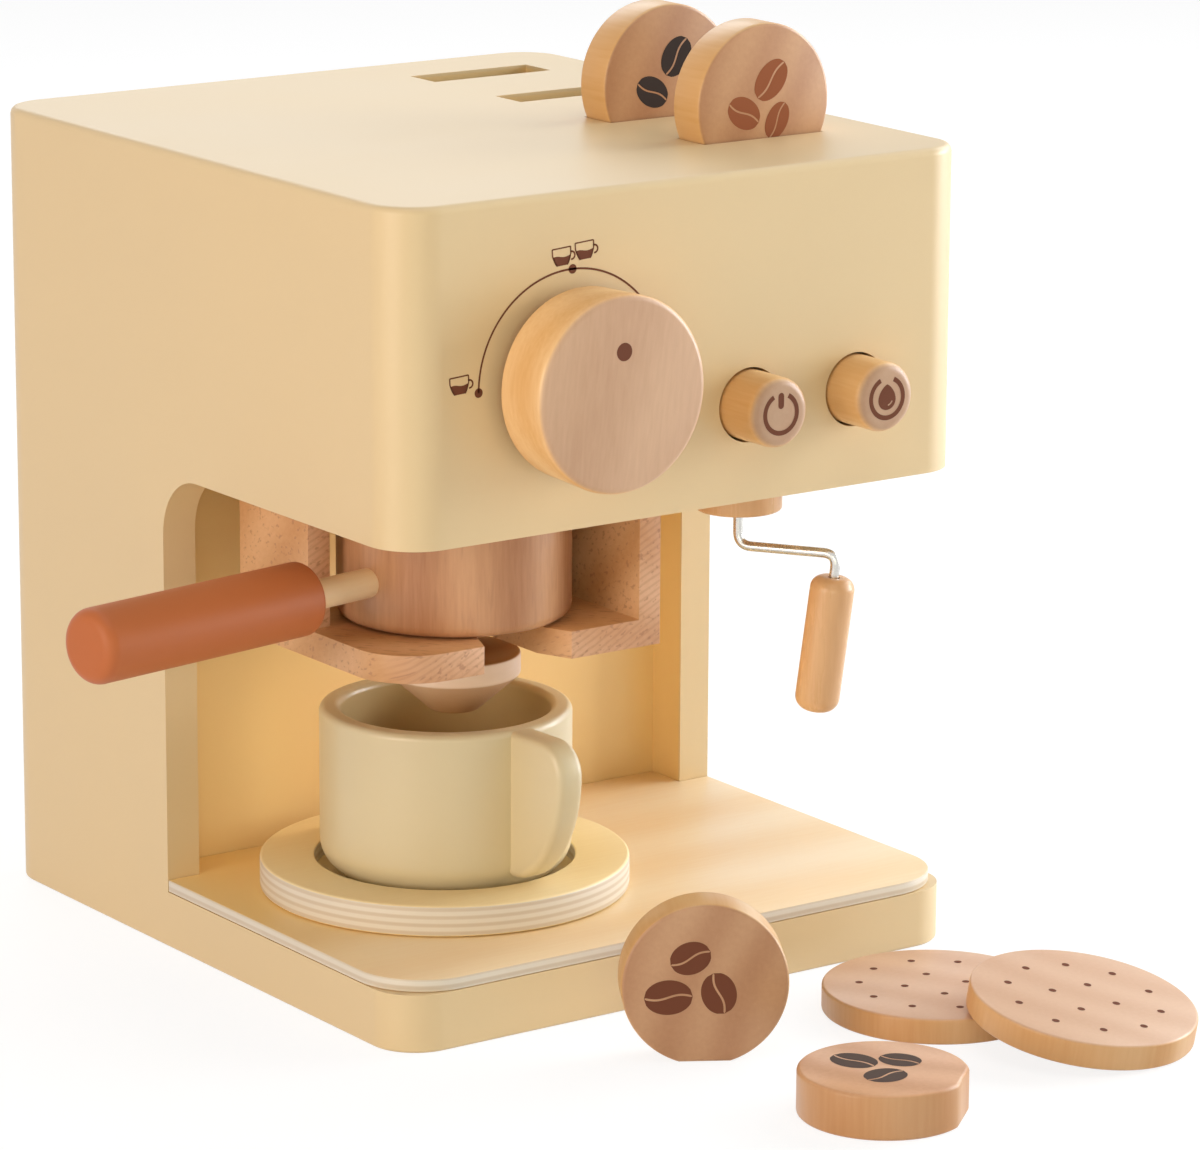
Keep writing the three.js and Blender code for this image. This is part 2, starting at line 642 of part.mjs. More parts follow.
// Each catch rail is one L-shaped piece: a wall screwed to the head, and a flange turned inwards
function catchRail(side) {
  const outer = CATCH_HALF_WIDTH;
  const front = -CATCH_AHEAD;
  const plan = new THREE.Shape();
  plan.moveTo(SLOT_HALF_WIDTH, CATCH_BEHIND);
  plan.lineTo(SLOT_HALF_WIDTH, front + MOUTH_DEPTH);
  plan.lineTo(MOUTH_HALF_WIDTH, front);
  if (side < 0) {
    const arcX = outer - FLANGE_CORNER_RADIUS;
    const arcY = front + FLANGE_CORNER_RADIUS;
    plan.absarc(arcX, arcY, FLANGE_CORNER_RADIUS, -QUARTER_TURN, 0);
  } else {
    plan.lineTo(outer, front);
  }
  plan.lineTo(outer, CATCH_BEHIND);
  const flange = prism(plan, FLANGE_BOTTOM_Z, FLANGE_TOP_Z);
  const wallFront = side < 0 ? LEFT_WALL_SETBACK : front;
  const wallLow = [outer - CATCH_WALL, wallFront, FLANGE_TOP_Z - OVERRUN];
  const wall = block(wallLow, [outer, CATCH_BEHIND, HEAD_Z - GLUE_LINE]);
  const rail = join(flange, wall);
  if (side < 0) {
    rail.scale(-1, 1, 1);
    rail.setIndex([...rail.index.array].reverse());
  }
  rail.translate(FILTER_X, FILTER_Y, 0);
  const pilots = screwPlaces()
    .filter(([x]) => (x - FILTER_X) * side > 0)
    .map(([x, y]) => {
      const from = [x, y, HEAD_Z - SCREW_IN_WALL - OVERRUN];
      return bar(from, [x, y, HEAD_Z + OVERRUN], SCREW_SHANK_RADIUS + GLUE_LINE);
    });
  return cut(rail, ...pilots);
}

// Two screws in each wall, near its ends, the right front one clear of the buttons' guide
function screwPlaces() {
  const offset = CATCH_HALF_WIDTH - CATCH_WALL / 2;
  const rear = FILTER_Y + CATCH_BEHIND - SCREW_FROM_WALL_END;
  const leftFront = FILTER_Y + LEFT_WALL_SETBACK + SCREW_FROM_WALL_END;
  const rightFront = GUIDE_Y + GUIDE_THICKNESS + SCREW_BEHIND_GUIDE;
  return [
    [FILTER_X - offset, leftFront],
    [FILTER_X - offset, rear],
    [FILTER_X + offset, rightFront],
    [FILTER_X + offset, rear],
  ];
}

function catchScrew() {
  const seat = HEAD_FLOOR_TOP_Z + GLUE_LINE;
  const head = seat + SCREW_HEAD_HEIGHT;
  const edge = SCREW_HEAD_HEIGHT / 2;
  return turned([
    [0, HEAD_Z - SCREW_IN_WALL],
    [SCREW_SHANK_RADIUS, HEAD_Z - SCREW_IN_WALL + SCREW_SHANK_RADIUS],
    [SCREW_SHANK_RADIUS, seat],
    [SCREW_HEAD_RADIUS, seat],
    ...edgeArc(SCREW_HEAD_RADIUS - edge, head - edge, edge, 0, QUARTER_TURN),
    [0, head],
  ], SMALL_STEPS);
}

function addCatch() {
  add(machine, 'left_catch_rail', catchRail(-1), beech);
  add(machine, 'right_catch_rail', catchRail(1), beech);
  screwPlaces().forEach(([x, y], i) => {
    const screw = add(machine, 'catch_screw_' + (i + 1), catchScrew(), zinc);
    screw.position.set(x, y, 0);
  });
}

function nozzle() {
  const coneTop = NOZZLE_TOP_Z - NOZZLE_RIM_HEIGHT;
  const tip = coneTop - NOZZLE_CONE_HEIGHT;
  const neckTop = BASKET_Z + NECK_IN_BASKET;
  return turned([
    [0, tip],
    [NOZZLE_TIP_RADIUS, tip],
    [NOZZLE_RIM_RADIUS, coneTop],
    [NOZZLE_RIM_RADIUS, NOZZLE_TOP_Z],
    [NECK_RADIUS, NOZZLE_TOP_Z],
    [NECK_RADIUS, neckTop],
    [0, neckTop],
  ], ROUND_STEPS);
}

// Turned bowl, bored above for a pod, below for the nozzle's neck and at the side for the handle
function basket() {
  const neckTop = BASKET_Z + NECK_IN_BASKET + SEAT_GAP;
  const neckBore = NECK_RADIUS + RUNNING_GAP;
  const rim = BASKET_Z + BASKET_HEIGHT;
  const floor = rim - BASKET_BORE_DEPTH;
  const bowl = turned([
    [0, neckTop],
    [neckBore, neckTop],
    [neckBore, BASKET_Z],
    ...edgeArc(BASKET_RADIUS - BASKET_EDGE, BASKET_Z + BASKET_EDGE, BASKET_EDGE, -QUARTER_TURN, 0),
    [BASKET_RADIUS, rim - BASKET_RIM_EDGE],
    [BASKET_RADIUS - BASKET_RIM_EDGE, rim],
    [BASKET_BORE_RADIUS, rim],
    [BASKET_BORE_RADIUS, floor],
    [0, floor],
  ], WIDE_STEPS);
  const start = BASKET_RADIUS - DOWEL_IN_BASKET - SEAT_GAP;
  const level = BASKET_Z + HANDLE_ABOVE_BASKET_FLOOR;
  const end = BASKET_RADIUS + OVERRUN;
  const socket = bar([start, 0, level], [end, 0, level], DOWEL_RADIUS + GLUE_LINE);
  return cut(bowl, socket);
}

function grip() {
  const bore = DOWEL_RADIUS + GLUE_LINE;
  const boreEnd = DOWEL_IN_GRIP + SEAT_GAP;
  const innerRadius = GRIP_RADIUS - GRIP_INNER_EDGE;
  const outerRadius = GRIP_RADIUS - GRIP_OUTER_EDGE;
  const outerZ = GRIP_LENGTH - GRIP_OUTER_EDGE;
  return turned([
    [0, boreEnd],
    [bore, boreEnd],
    [bore, 0],
    ...edgeArc(innerRadius, GRIP_INNER_EDGE, GRIP_INNER_EDGE, -QUARTER_TURN, 0, SOFT_STEPS),
    ...edgeArc(outerRadius, outerZ, GRIP_OUTER_EDGE, 0, QUARTER_TURN, SOFT_STEPS),
    [0, GRIP_LENGTH],
  ]);
}

// The filter stands about its own upright axis, with +X along the handle
function addFilter() {
  const group = new THREE.Group();
  group.position.set(FILTER_X, FILTER_Y, 0);
  group.rotation.z = HANDLE_ANGLE;
  machine.add(group);
  const level = BASKET_Z + HANDLE_ABOVE_BASKET_FLOOR;
  const dowelStart = BASKET_RADIUS - DOWEL_IN_BASKET;
  const dowel = bar([dowelStart, 0, level], [GRIP_START + DOWEL_IN_GRIP, 0, level], DOWEL_RADIUS);
  add(group, 'filter_nozzle', nozzle(), maple);
  add(group, 'filter_basket', basket(), maple);
  add(group, 'handle_dowel', dowel, paleDowel);
  const painted = add(group, 'handle_grip', grip(), terracottaPaint);
  painted.position.set(GRIP_START, 0, level);
  painted.rotation.y = QUARTER_TURN;
}

function saucer() {
  const half = SAUCER_EDGE;
  const floor = SAUCER_THICKNESS - RECESS_DEPTH;
  return turned([
    [0, 0],
    [SAUCER_RADIUS - half, 0],
    [SAUCER_RADIUS, half],
    [SAUCER_RADIUS, SAUCER_THICKNESS - half],
    [SAUCER_RADIUS - half, SAUCER_THICKNESS],
    [RECESS_RADIUS, SAUCER_THICKNESS],
    [RECESS_RADIUS, floor],
    [0, floor],
  ], WIDE_STEPS);
}

// The cup's ear: level at the rim, round at its upper corner, then sloping back to the foot
function cupEar() {
  const root = CUP_RADIUS - CUP_WALL / 2;
  const tip = CUP_RADIUS + CUP_HANDLE_REACH;
  const top = CUP_HEIGHT - CUP_HANDLE_BELOW_RIM;
  const bottom = CUP_HANDLE_ABOVE_FOOT;
  const corner = top - CUP_HANDLE_CORNER;
  const outline = new THREE.Shape();
  outline.moveTo(root, bottom);
  outline.lineTo(CUP_RADIUS, bottom);
  outline.bezierCurveTo((CUP_RADIUS + tip) / 2, bottom, tip, (bottom + corner) / 2, tip, corner);
  outline.absarc(tip - CUP_HANDLE_CORNER, corner, CUP_HANDLE_CORNER, 0, QUARTER_TURN);
  outline.lineTo(root, top);
  const half = CUP_HANDLE_THICKNESS / 2;
  const slab = softPrism(outline, -half, half, CUP_HANDLE_EDGE);
  return slab.rotateX(QUARTER_TURN).rotateZ(CUP_HANDLE_ANGLE);
}

function cup() {
  const foot = edgeArc(CUP_RADIUS - CUP_FOOT_RADIUS, CUP_FOOT_RADIUS, CUP_FOOT_RADIUS,
    -QUARTER_TURN, 0, SOFT_STEPS);
  const rimZ = CUP_HEIGHT - CUP_RIM_EDGE;
  const bore = CUP_RADIUS - CUP_WALL;
  const outerRim = edgeArc(CUP_RADIUS - CUP_RIM_EDGE, rimZ, CUP_RIM_EDGE, 0, QUARTER_TURN);
  const innerRim = edgeArc(bore + CUP_RIM_EDGE, rimZ, CUP_RIM_EDGE, QUARTER_TURN, HALF_TURN);
  const wall = turned([[0, 0], ...foot, ...outerRim, [0, CUP_HEIGHT]], WIDE_STEPS);
  const boreFoot = edgeArc(bore - CUP_BORE_FOOT_RADIUS, CUP_FLOOR + CUP_BORE_FOOT_RADIUS,
    CUP_BORE_FOOT_RADIUS, -QUARTER_TURN, 0);
  const top = CUP_HEIGHT + OVERRUN;
  const mouth = innerRim[0][0];
  const hollow = [[0, CUP_FLOOR], ...boreFoot, ...innerRim.reverse(), [mouth, top], [0, top]];
  return cut(join(wall, cupEar()), turned(hollow, WIDE_STEPS));
}

function addCupAndSaucer() {
  const plate = add(machine, 'saucer', saucer(), birchPly);
  plate.position.set(SAUCER_X, SAUCER_Y, SAUCER_Z);
  const mug = add(machine, 'cup', cup(), creamPaint);
  mug.position.set(CUP_X, CUP_Y, CUP_Z);
}

function collar() {
  const bore = ROD_RADIUS + RUNNING_GAP;
  const bottom = HEAD_Z - GLUE_LINE - COLLAR_THICKNESS;
  const top = HEAD_Z - GLUE_LINE;
  return turned([
    [bore, bottom],
    [COLLAR_RADIUS - COLLAR_EDGE, bottom],
    [COLLAR_RADIUS, bottom + COLLAR_EDGE],
    [COLLAR_RADIUS, top],
    [bore, top],
    [bore, bottom],
  ]);
}

// The bent rod lies in its own X-Z plane: down, across, and down again with a slight lean back
function rodCorners() {
  const top = new THREE.Vector3(0, 0, HEAD_FLOOR_TOP_Z + ROD_ABOVE_FLOOR);
  const knee = new THREE.Vector3(0, 0, HEAD_Z - COLLAR_THICKNESS - ROD_DROP);
  const elbow = knee.clone().add(new THREE.Vector3(ROD_RUN, 0, 0));
  const leg = new THREE.Vector3(-Math.sin(ROD_LEG_TILT), 0, -Math.cos(ROD_LEG_TILT));
  const end = elbow.clone().addScaledVector(leg, ROD_LEG_TO_HANDLE + ROD_LEG_IN_HANDLE);
  return { top, knee, elbow, leg, end };
}

function wandRod() {
  const { top, knee, elbow, end } = rodCorners();
  const towards = (from, to) => {
    const step = to.clone().sub(from).setLength(ROD_BEND_RADIUS);
    return from.clone().add(step);
  };
  const path = new THREE.CurvePath();
  const kneeIn = towards(knee, top);
  const kneeOut = towards(knee, elbow);
  const elbowIn = towards(elbow, knee);
  const elbowOut = towards(elbow, end);
  path.add(new THREE.LineCurve3(top, kneeIn));
  path.add(new THREE.QuadraticBezierCurve3(kneeIn, knee, kneeOut));
  path.add(new THREE.LineCurve3(kneeOut, elbowIn));
  path.add(new THREE.QuadraticBezierCurve3(elbowIn, elbow, elbowOut));
  path.add(new THREE.LineCurve3(elbowOut, end));
  return tube(path, ROD_RADIUS, ROD_PATH_STEPS, ROD_SIDES);
}

function wandHandle() {
  const bore = ROD_RADIUS + RUNNING_GAP;
  const top = WAND_HANDLE_LENGTH;
  const boreEnd = top - ROD_LEG_IN_HANDLE - SEAT_GAP;
  const foot = WAND_HANDLE_FOOT_EDGE;
  const shoulder = WAND_HANDLE_TOP_EDGE;
  const radius = WAND_HANDLE_RADIUS;
  return turned([
    [0, 0],
    ...edgeArc(radius - foot, foot, foot, -QUARTER_TURN, 0, SOFT_STEPS),
    ...edgeArc(radius - shoulder, top - shoulder, shoulder, 0, QUARTER_TURN, SOFT_STEPS),
    [bore, top],
    [bore, boreEnd],
    [0, boreEnd],
  ], ROUND_STEPS / 2);
}

function rodWasher() {
  const hole = ROD_RADIUS + GLUE_LINE;
  const bottom = HEAD_FLOOR_TOP_Z + SEAT_GAP;
  const top = bottom + ROD_WASHER_THICKNESS;
  return turned([
    [hole, bottom],
    [ROD_WASHER_RADIUS, bottom],
    [ROD_WASHER_RADIUS, top],
    [hole, top],
    [hole, bottom],
  ], SMALL_STEPS);
}

function addWand() {
  const group = new THREE.Group();
  group.position.set(WAND_X, WAND_Y, 0);
  group.rotation.z = WAND_ANGLE;
  machine.add(group);
  add(group, 'wand_collar', collar(), maple);
  add(group, 'wand_rod', wandRod(), steel);
  add(group, 'wand_rod_washer', rodWasher(), zinc);
  const handle = add(group, 'wand_handle', wandHandle(), maple);
  const { elbow, leg } = rodCorners();
  const foot = elbow.clone().addScaledVector(leg, ROD_LEG_TO_HANDLE + WAND_HANDLE_LENGTH);
  handle.position.copy(foot);
  handle.rotation.y = ROD_LEG_TILT;
}

// A round pod with one flat on its rim, its face in X-Y and the flat towards -Y
function pod() {
  const outline = new THREE.Shape();
  const from = -QUARTER_TURN + POD_FLAT_HALF_ANGLE;
  const to = HALF_TURN + QUARTER_TURN - POD_FLAT_HALF_ANGLE;
  outline.absarc(0, 0, POD_RADIUS, from, to);
  return softPrism(outline, 0, POD_THICKNESS, POD_EDGE, ROUND_STEPS);
}

function addSeatedPods() {
  const names = ['front_pod', 'second_pod'];
  const places = slotPlaces().reverse();
  names.forEach((name, i) => {
    const mesh = add(machine, name, pod(), maple);
    mesh.position.set(SLOT_ROW_X, places[i] + POD_THICKNESS / 2, BODY_HEIGHT + POD_CENTRE_ABOVE_LID);
    mesh.rotation.x = QUARTER_TURN;
  });
}

function addLoosePods() {
  const group = new THREE.Group();
  const flatDrop = POD_RADIUS * Math.cos(POD_FLAT_HALF_ANGLE);
  group.position.set(STANDING_POD_X, FRONT_Y - STANDING_POD_AHEAD, flatDrop);
  group.rotation.z = STANDING_POD_FACING + QUARTER_TURN;
  machine.add(group);
  const standing = add(group, 'standing_pod', pod(), maple);
  standing.position.set(0, POD_THICKNESS, 0);
  standing.rotation.x = QUARTER_TURN;
  const lying = add(machine, 'lying_pod', pod(), maple);
  lying.position.set(LYING_POD_X, FRONT_Y - LYING_POD_AHEAD, 0);
  lying.rotation.z = LYING_POD_TURN;
}

function biscuit() {
  const outline = new THREE.Shape().absarc(0, 0, BISCUIT_RADIUS, 0, 2 * Math.PI);
  return softPrism(outline, 0, BISCUIT_THICKNESS, BISCUIT_EDGE, WIDE_STEPS);
}

// One biscuit lies flat, and the other has its edge on the floor and leans on the first one's rim
function addBiscuits() {
  const flatY = FRONT_Y - BISCUIT_AHEAD;
  const flat = add(machine, 'flat_biscuit', biscuit(), maple);
  flat.position.set(BISCUIT_X, flatY, 0);
  const reach = BISCUIT_RADIUS + LEAN_REACH;
  const lean = new THREE.Group();
  const lowX = BISCUIT_X - reach * Math.cos(LEAN_DIRECTION);
  const lowY = flatY - reach * Math.sin(LEAN_DIRECTION);
  lean.position.set(lowX, lowY, 0);
  lean.rotation.z = LEAN_DIRECTION;
  const rise = new THREE.Group();
  rise.rotation.y = -Math.atan((BISCUIT_THICKNESS + SEAT_GAP) / LEAN_REACH);
  lean.add(rise);
  machine.add(lean);
  const leaning = add(rise, 'leaning_biscuit', biscuit(), maple);
  leaning.position.set(BISCUIT_RADIUS, 0, 0);
}

addHousing();
addKnob();
addButtons();
addCatch();
addFilter();
addCupAndSaucer();
addWand();
addSeatedPods();
addLoosePods();
addBiscuits();

export default machine;
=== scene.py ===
from math import atan, cos, pi, radians, sin, sqrt, tau

import bmesh
import bpy
from mathutils import Matrix, Vector


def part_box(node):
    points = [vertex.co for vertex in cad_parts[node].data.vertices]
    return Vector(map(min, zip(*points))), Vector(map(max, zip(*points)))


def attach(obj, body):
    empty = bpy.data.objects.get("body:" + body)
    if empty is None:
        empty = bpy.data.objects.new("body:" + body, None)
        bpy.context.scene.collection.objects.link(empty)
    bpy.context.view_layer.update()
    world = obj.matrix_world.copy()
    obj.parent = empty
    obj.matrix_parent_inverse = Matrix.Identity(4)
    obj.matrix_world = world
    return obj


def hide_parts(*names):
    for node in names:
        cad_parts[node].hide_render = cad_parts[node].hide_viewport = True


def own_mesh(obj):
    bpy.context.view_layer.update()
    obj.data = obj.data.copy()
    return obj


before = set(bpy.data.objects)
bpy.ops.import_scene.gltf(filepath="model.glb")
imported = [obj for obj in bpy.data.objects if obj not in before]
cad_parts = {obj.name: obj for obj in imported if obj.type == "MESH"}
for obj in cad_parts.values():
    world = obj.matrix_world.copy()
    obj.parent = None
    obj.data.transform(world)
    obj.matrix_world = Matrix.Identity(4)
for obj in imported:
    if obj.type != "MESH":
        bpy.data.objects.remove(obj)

MM = 0.001
X, Y, Z = Vector((1, 0, 0)), Vector((0, 1, 0)), Vector((0, 0, 1))
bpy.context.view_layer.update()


# Camera. It stands off the toy's left front corner, a little above the lid, with a long lens, so
# that the head shows its front, its left side and a sliver of its top.
CAMERA_PLACE = Vector((-780.6, -1155.4, 434.5)) * MM
CAMERA_AZIMUTH = radians(-35.387)
CAMERA_ELEVATION = radians(13.937)
CAMERA_ROLL = radians(0.30)
FOCAL_PIXELS = 5577.2
PHOTO_WIDTH = 1200


def new_object(name, data):
    thing = bpy.data.objects.new(name, data)
    bpy.context.collection.objects.link(thing)
    return thing


def turn_to(across, up, facing):
    """The turn that takes X, Y and Z to three directions."""
    return Matrix((across, up, facing)).transposed().to_4x4()


backward = Vector((
    sin(CAMERA_AZIMUTH) * cos(CAMERA_ELEVATION),
    -cos(CAMERA_AZIMUTH) * cos(CAMERA_ELEVATION),
    sin(CAMERA_ELEVATION),
))
rightward = Z.cross(backward).normalized()
camera = new_object("camera", bpy.data.cameras.new("camera"))
camera.data.lens = FOCAL_PIXELS / PHOTO_WIDTH * camera.data.sensor_width
camera.data.clip_start = 0.05
camera.matrix_world = (
    Matrix.Translation(CAMERA_PLACE)
    @ turn_to(rightward, backward.cross(rightward), backward)
    @ Matrix.Rotation(CAMERA_ROLL, 4, "Z")
)
bpy.context.scene.camera = camera
bpy.context.scene.view_settings.view_transform = "Standard"


# Studio. A white table that runs out of sight, a broad window-like lamp on the right, a low fill in
# front that reaches under the head, and an even white room. The table looks white in the open.
TABLE_SIZE = 8.0
TABLE_GREY = 0.82
TABLE_GLOW_SHARE = 0.72
TABLE_GLOW = 1.16
ROOM_LIGHT = 0.21
LAMP_AIM = Vector((0, 0, 0.08))
WHITE = (1, 1, 1, 1)


def fill(node, sockets):
    """Gives each socket of a node its value, or links it to another node's output."""
    for socket, value in sockets.items():
        if isinstance(value, bpy.types.NodeSocket):
            node.id_data.links.new(value, node.inputs[socket])
        else:
            node.inputs[socket].default_value = value


def add(owner, kind, sockets, output=0, **settings):
    """Adds a node to a material or world, with its settings and sockets, and returns one output."""
    node = owner.node_tree.nodes.new("ShaderNode" + kind)
    for name, value in settings.items():
        setattr(node, name, value)
    fill(node, sockets)
    return node.outputs[output]


def maths(owner, operation, *values):
    return add(owner, "Math", dict(enumerate(values)), operation=operation)


def ranged(owner, value, start=(0, 1), end=(0, 1)):
    """Carries a value that runs over the start range over into the end range."""
    return add(owner, "MapRange", {"Value": value, "From Min": start[0], "From Max": start[1],
                                   "To Min": end[0], "To Max": end[1]})


def seen_directly(owner):
    """1 for what the camera sees straight, by reflection or through glass, 0 for other light."""
    rays = add(owner, "LightPath", {}).node.outputs
    either = maths(owner, "MAXIMUM", rays["Is Camera Ray"], rays["Is Glossy Ray"])
    return maths(owner, "MAXIMUM", either, rays["Is Transmission Ray"])


bm = bmesh.new()
bmesh.ops.create_grid(bm, x_segments=1, y_segments=1, size=TABLE_SIZE / 2)
table_mesh = bpy.data.meshes.new("table")
bm.to_mesh(table_mesh)
bm.free()
table = new_object("table", table_mesh)

table_white = bpy.data.materials.new("table white")
table_white.use_nodes = True
matt = table_white.node_tree.nodes["Principled BSDF"]
fill(matt, {"Base Color": (TABLE_GREY, TABLE_GREY, TABLE_GREY, 1), "Roughness": 0.6})
glow = add(table_white, "Emission", {"Color": WHITE, "Strength": TABLE_GLOW})
glow_share = maths(table_white, "MULTIPLY", seen_directly(table_white), TABLE_GLOW_SHARE)
surface = add(table_white, "MixShader", {0: glow_share, 1: matt.outputs[0], 2: glow})
fill(table_white.node_tree.nodes["Material Output"], {"Surface": surface})
table_mesh.materials.append(table_white)

room = bpy.data.worlds.new("white room")
bpy.context.scene.world = room
room.use_nodes = True
room_light = ranged(room, seen_directly(room), end=(ROOM_LIGHT, 1))
fill(room.node_tree.nodes["Background"], {"Color": WHITE, "Strength": room_light})


def softbox(name, place, size, watts, tint):
    """A square lamp that faces the middle of the bay."""
    lamp = bpy.data.lights.new(name, "AREA")
    lamp.size, lamp.energy, lamp.color = size, watts, tint
    holder = new_object(name, lamp)
    holder.location = place
    holder.rotation_euler = (LAMP_AIM - Vector(place)).to_track_quat("-Z", "Y").to_euler()
    return holder


softbox("window lamp", (1.3, 0.15, 0.85), 0.9, 9, (0.93, 0.97, 1))
softbox("right lamp", (1.4, -0.5, 0.4), 0.8, 19, (0.97, 0.98, 1))
softbox("left lamp", (-1.4, -0.3, 0.4), 0.8, 10, (1, 0.84, 0.72))
softbox("camera lamp", (-0.75, -1.35, 0.3), 0.6, 2.9, (1, 1, 0.7))
softbox("rear lamp", (0.5, 1.2, 1.0), 0.8, 3.9, (1, 1, 1))
softbox("top lamp", (-0.1, -0.3, 1.4), 0.9, 3.4, (1, 1, 1))

bay_glow = softbox("bay glow", (0, 0.006, 0.07), 0.12, 0.007, (1, 0.72, 0.32))
bay_glow.data.shape = "RECTANGLE"
bay_glow.data.size_y = 0.09
bay_glow.rotation_euler = (pi / 2, 0, 0)
bay_glow.visible_camera = False
bay_glow.visible_glossy = False


# Housing. Board walls glued into one box with an open bay under its head, filled at the joints,
# rounded at the corners and sprayed a satin cream, so that no seam shows.
CREAM = (0.765, 0.582, 0.325)
# Painted shade: a deeper cream for the recess at the back of the bay and for the lid's slots.
PAINTED_SHADE_CREAM = (0.800, 0.575, 0.262)
EASED_EDGE = 0.9 * MM
EDGE_FACETS = 3
CORNER_FACETS = 14
CUT_PAST = 3 * MM
PAINT_ROUGHNESS = 0.40
PAINT_GLOSS = 0.7
SMOOTH_BELOW = radians(40)
CRISP_ABOVE = radians(50)
NEARLY_FLAT = radians(0.5)
NEARLY_PARALLEL = 0.001
HOLE_FACETS = 64
BOARD_GAP = 0.1 * MM
MERGE = 0.01 * MM


def middle_of(node):
    low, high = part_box(node)
    return (low + high) / 2


def slab(low, high):
    """A block between two corners, as a bmesh."""
    bm = bmesh.new()
    bmesh.ops.create_cube(bm, size=1)
    low, high = Vector(low), Vector(high)
    bmesh.ops.scale(bm, vec=high - low, verts=bm.verts)
    bmesh.ops.translate(bm, vec=(low + high) / 2, verts=bm.verts)
    return bm


def edges_along(bm, axis):
    return [e for e in bm.edges
            if (e.verts[0].co - e.verts[1].co).normalized().cross(axis).length < NEARLY_PARALLEL]


def round_edges(bm, edges, radius, facets=EDGE_FACETS):
    return bmesh.ops.bevel(bm, geom=edges, offset=radius, offset_type="OFFSET", segments=facets,
                           profile=0.5, affect="EDGES", material=-1, clamp_overlap=True)


def finished(name, bm, material):
    """Turns a bmesh into a smooth-shaded object at the origin, and frees the bmesh."""
    mesh = bpy.data.meshes.new(name)
    bm.to_mesh(mesh)
    bm.free()
    mesh.polygons.foreach_set("use_smooth", [True] * len(mesh.polygons))
    mesh.set_sharp_from_angle(angle=SMOOTH_BELOW)
    mesh.materials.append(material)
    return new_object(name, mesh)


def piece(name, bm, material, body, slot, *nodes):
    """Finishes a piece, lets it ride on its body and hides the plain solids that it stands for."""
    thing = finished(name, bm, material)
    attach(thing, body)
    if nodes:
        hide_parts(*nodes)
    return thing


def merged(mesh, distance):
    """A mesh as a bmesh, with the points merged that lie within a distance of each other."""
    bm = bmesh.new()
    bm.from_mesh(mesh)
    bmesh.ops.remove_doubles(bm, verts=bm.verts, dist=distance)
    return bm


def baked(thing, distance, *helpers):
    """An object's final shape as a merged bmesh. The object and its helpers are removed."""
    evaluated = thing.evaluated_get(bpy.context.evaluated_depsgraph_get())
    mesh = bpy.data.meshes.new_from_object(evaluated)
    for done in (thing, *helpers):
        bpy.data.objects.remove(done)
    return merged(mesh, distance)


def carved(name, bm, cutters, material):
    """The bmesh with the cutters taken away from it, as one closed mesh."""
    block = finished(name, bm, material)
    tools = [finished("cutter", cutter, material) for cutter in cutters]
    for tool in tools:
        cut = block.modifiers.new("cut", "BOOLEAN")
        cut.operation = "DIFFERENCE"
        cut.solver = "EXACT"
        cut.object = tool
    bm = baked(block, MERGE, *tools)
    bmesh.ops.dissolve_limit(bm, angle_limit=NEARLY_FLAT, verts=bm.verts, edges=bm.edges)
    return bm


def placed(bm, centre, axis):
    """Turns a shape made about Z to lie along an axis, and moves it to its place."""
    turn = Z.rotation_difference(axis).to_matrix().to_4x4()
    bmesh.ops.transform(bm, matrix=Matrix.Translation(centre) @ turn, verts=bm.verts)
    return bm


def drilled(centre, axis, radius, length):
    """A cutter for a round hole, centred on a point."""
    bm = bmesh.new()
    bmesh.ops.create_cone(bm, cap_ends=True, segments=HOLE_FACETS, radius1=radius,
                          radius2=radius, depth=length)
    return placed(bm, centre, axis)


def new_material(name):
    """A new material and its shader."""
    material = bpy.data.materials.new(name)
    material.use_nodes = True
    return material, material.node_tree.nodes["Principled BSDF"]


def place_in(material):
    return add(material, "TexCoord", {}, "Object")


def vector_maths(material, operation, *values, output="Vector"):
    return add(material, "VectorMath", dict(enumerate(values)), output, operation=operation)


def noise(material, vector, scale, detail=2, roughness=0.5):
    return add(material, "TexNoise", {"Vector": vector, "Scale": scale, "Detail": detail,
                                      "Roughness": roughness})


def bumped(material, height, strength, distance):
    return add(material, "Bump", {"Height": height, "Strength": strength, "Distance": distance})


def toned(colour, tone, channels=(1, 1, 1)):
    """A colour made lighter or darker, in its three channels by their own shares."""
    return tuple(min(1, c * tone * share) for c, share in zip(colour, channels))


def mixed(material, share, first, second):
    """The first colour where the share is 0 and the second where it is 1, as numbers or nodes."""
    first, second = [colour if isinstance(colour, bpy.types.NodeSocket) else (*colour, 1)
                     for colour in (first, second)]
    return add(material, "Mix", {"Factor": share, "A": first, "B": second}, "Result",
               data_type="RGBA")


def overlaid(material, share, colour):
    """Lays a colour over what a material has, where the share is 1."""
    shader = material.node_tree.nodes["Principled BSDF"]
    base = shader.inputs["Base Color"].links[0].from_socket
    fill(shader, {"Base Color": mixed(material, share, base, colour)})


def paint(name, colour, roughness, mottle=0.02, grain=900, gloss=PAINT_GLOSS):
    """Sprayed paint: one colour with a faint cloudiness and a fine skin that catches the light."""
    material, shader = new_material(name)
    cloud = noise(material, place_in(material), scale=18, detail=3)
    skin = noise(material, place_in(material), scale=grain)
    fill(shader, {
        "Base Color": mixed(material, cloud, toned(colour, 1 - mottle), toned(colour, 1 + mottle)),
        "Roughness": ranged(material, cloud, end=(roughness - 0.05, roughness + 0.05)),
        "Normal": bumped(material, skin, strength=0.06, distance=0.1 * MM),
        "Specular IOR Level": gloss,
    })
    return material


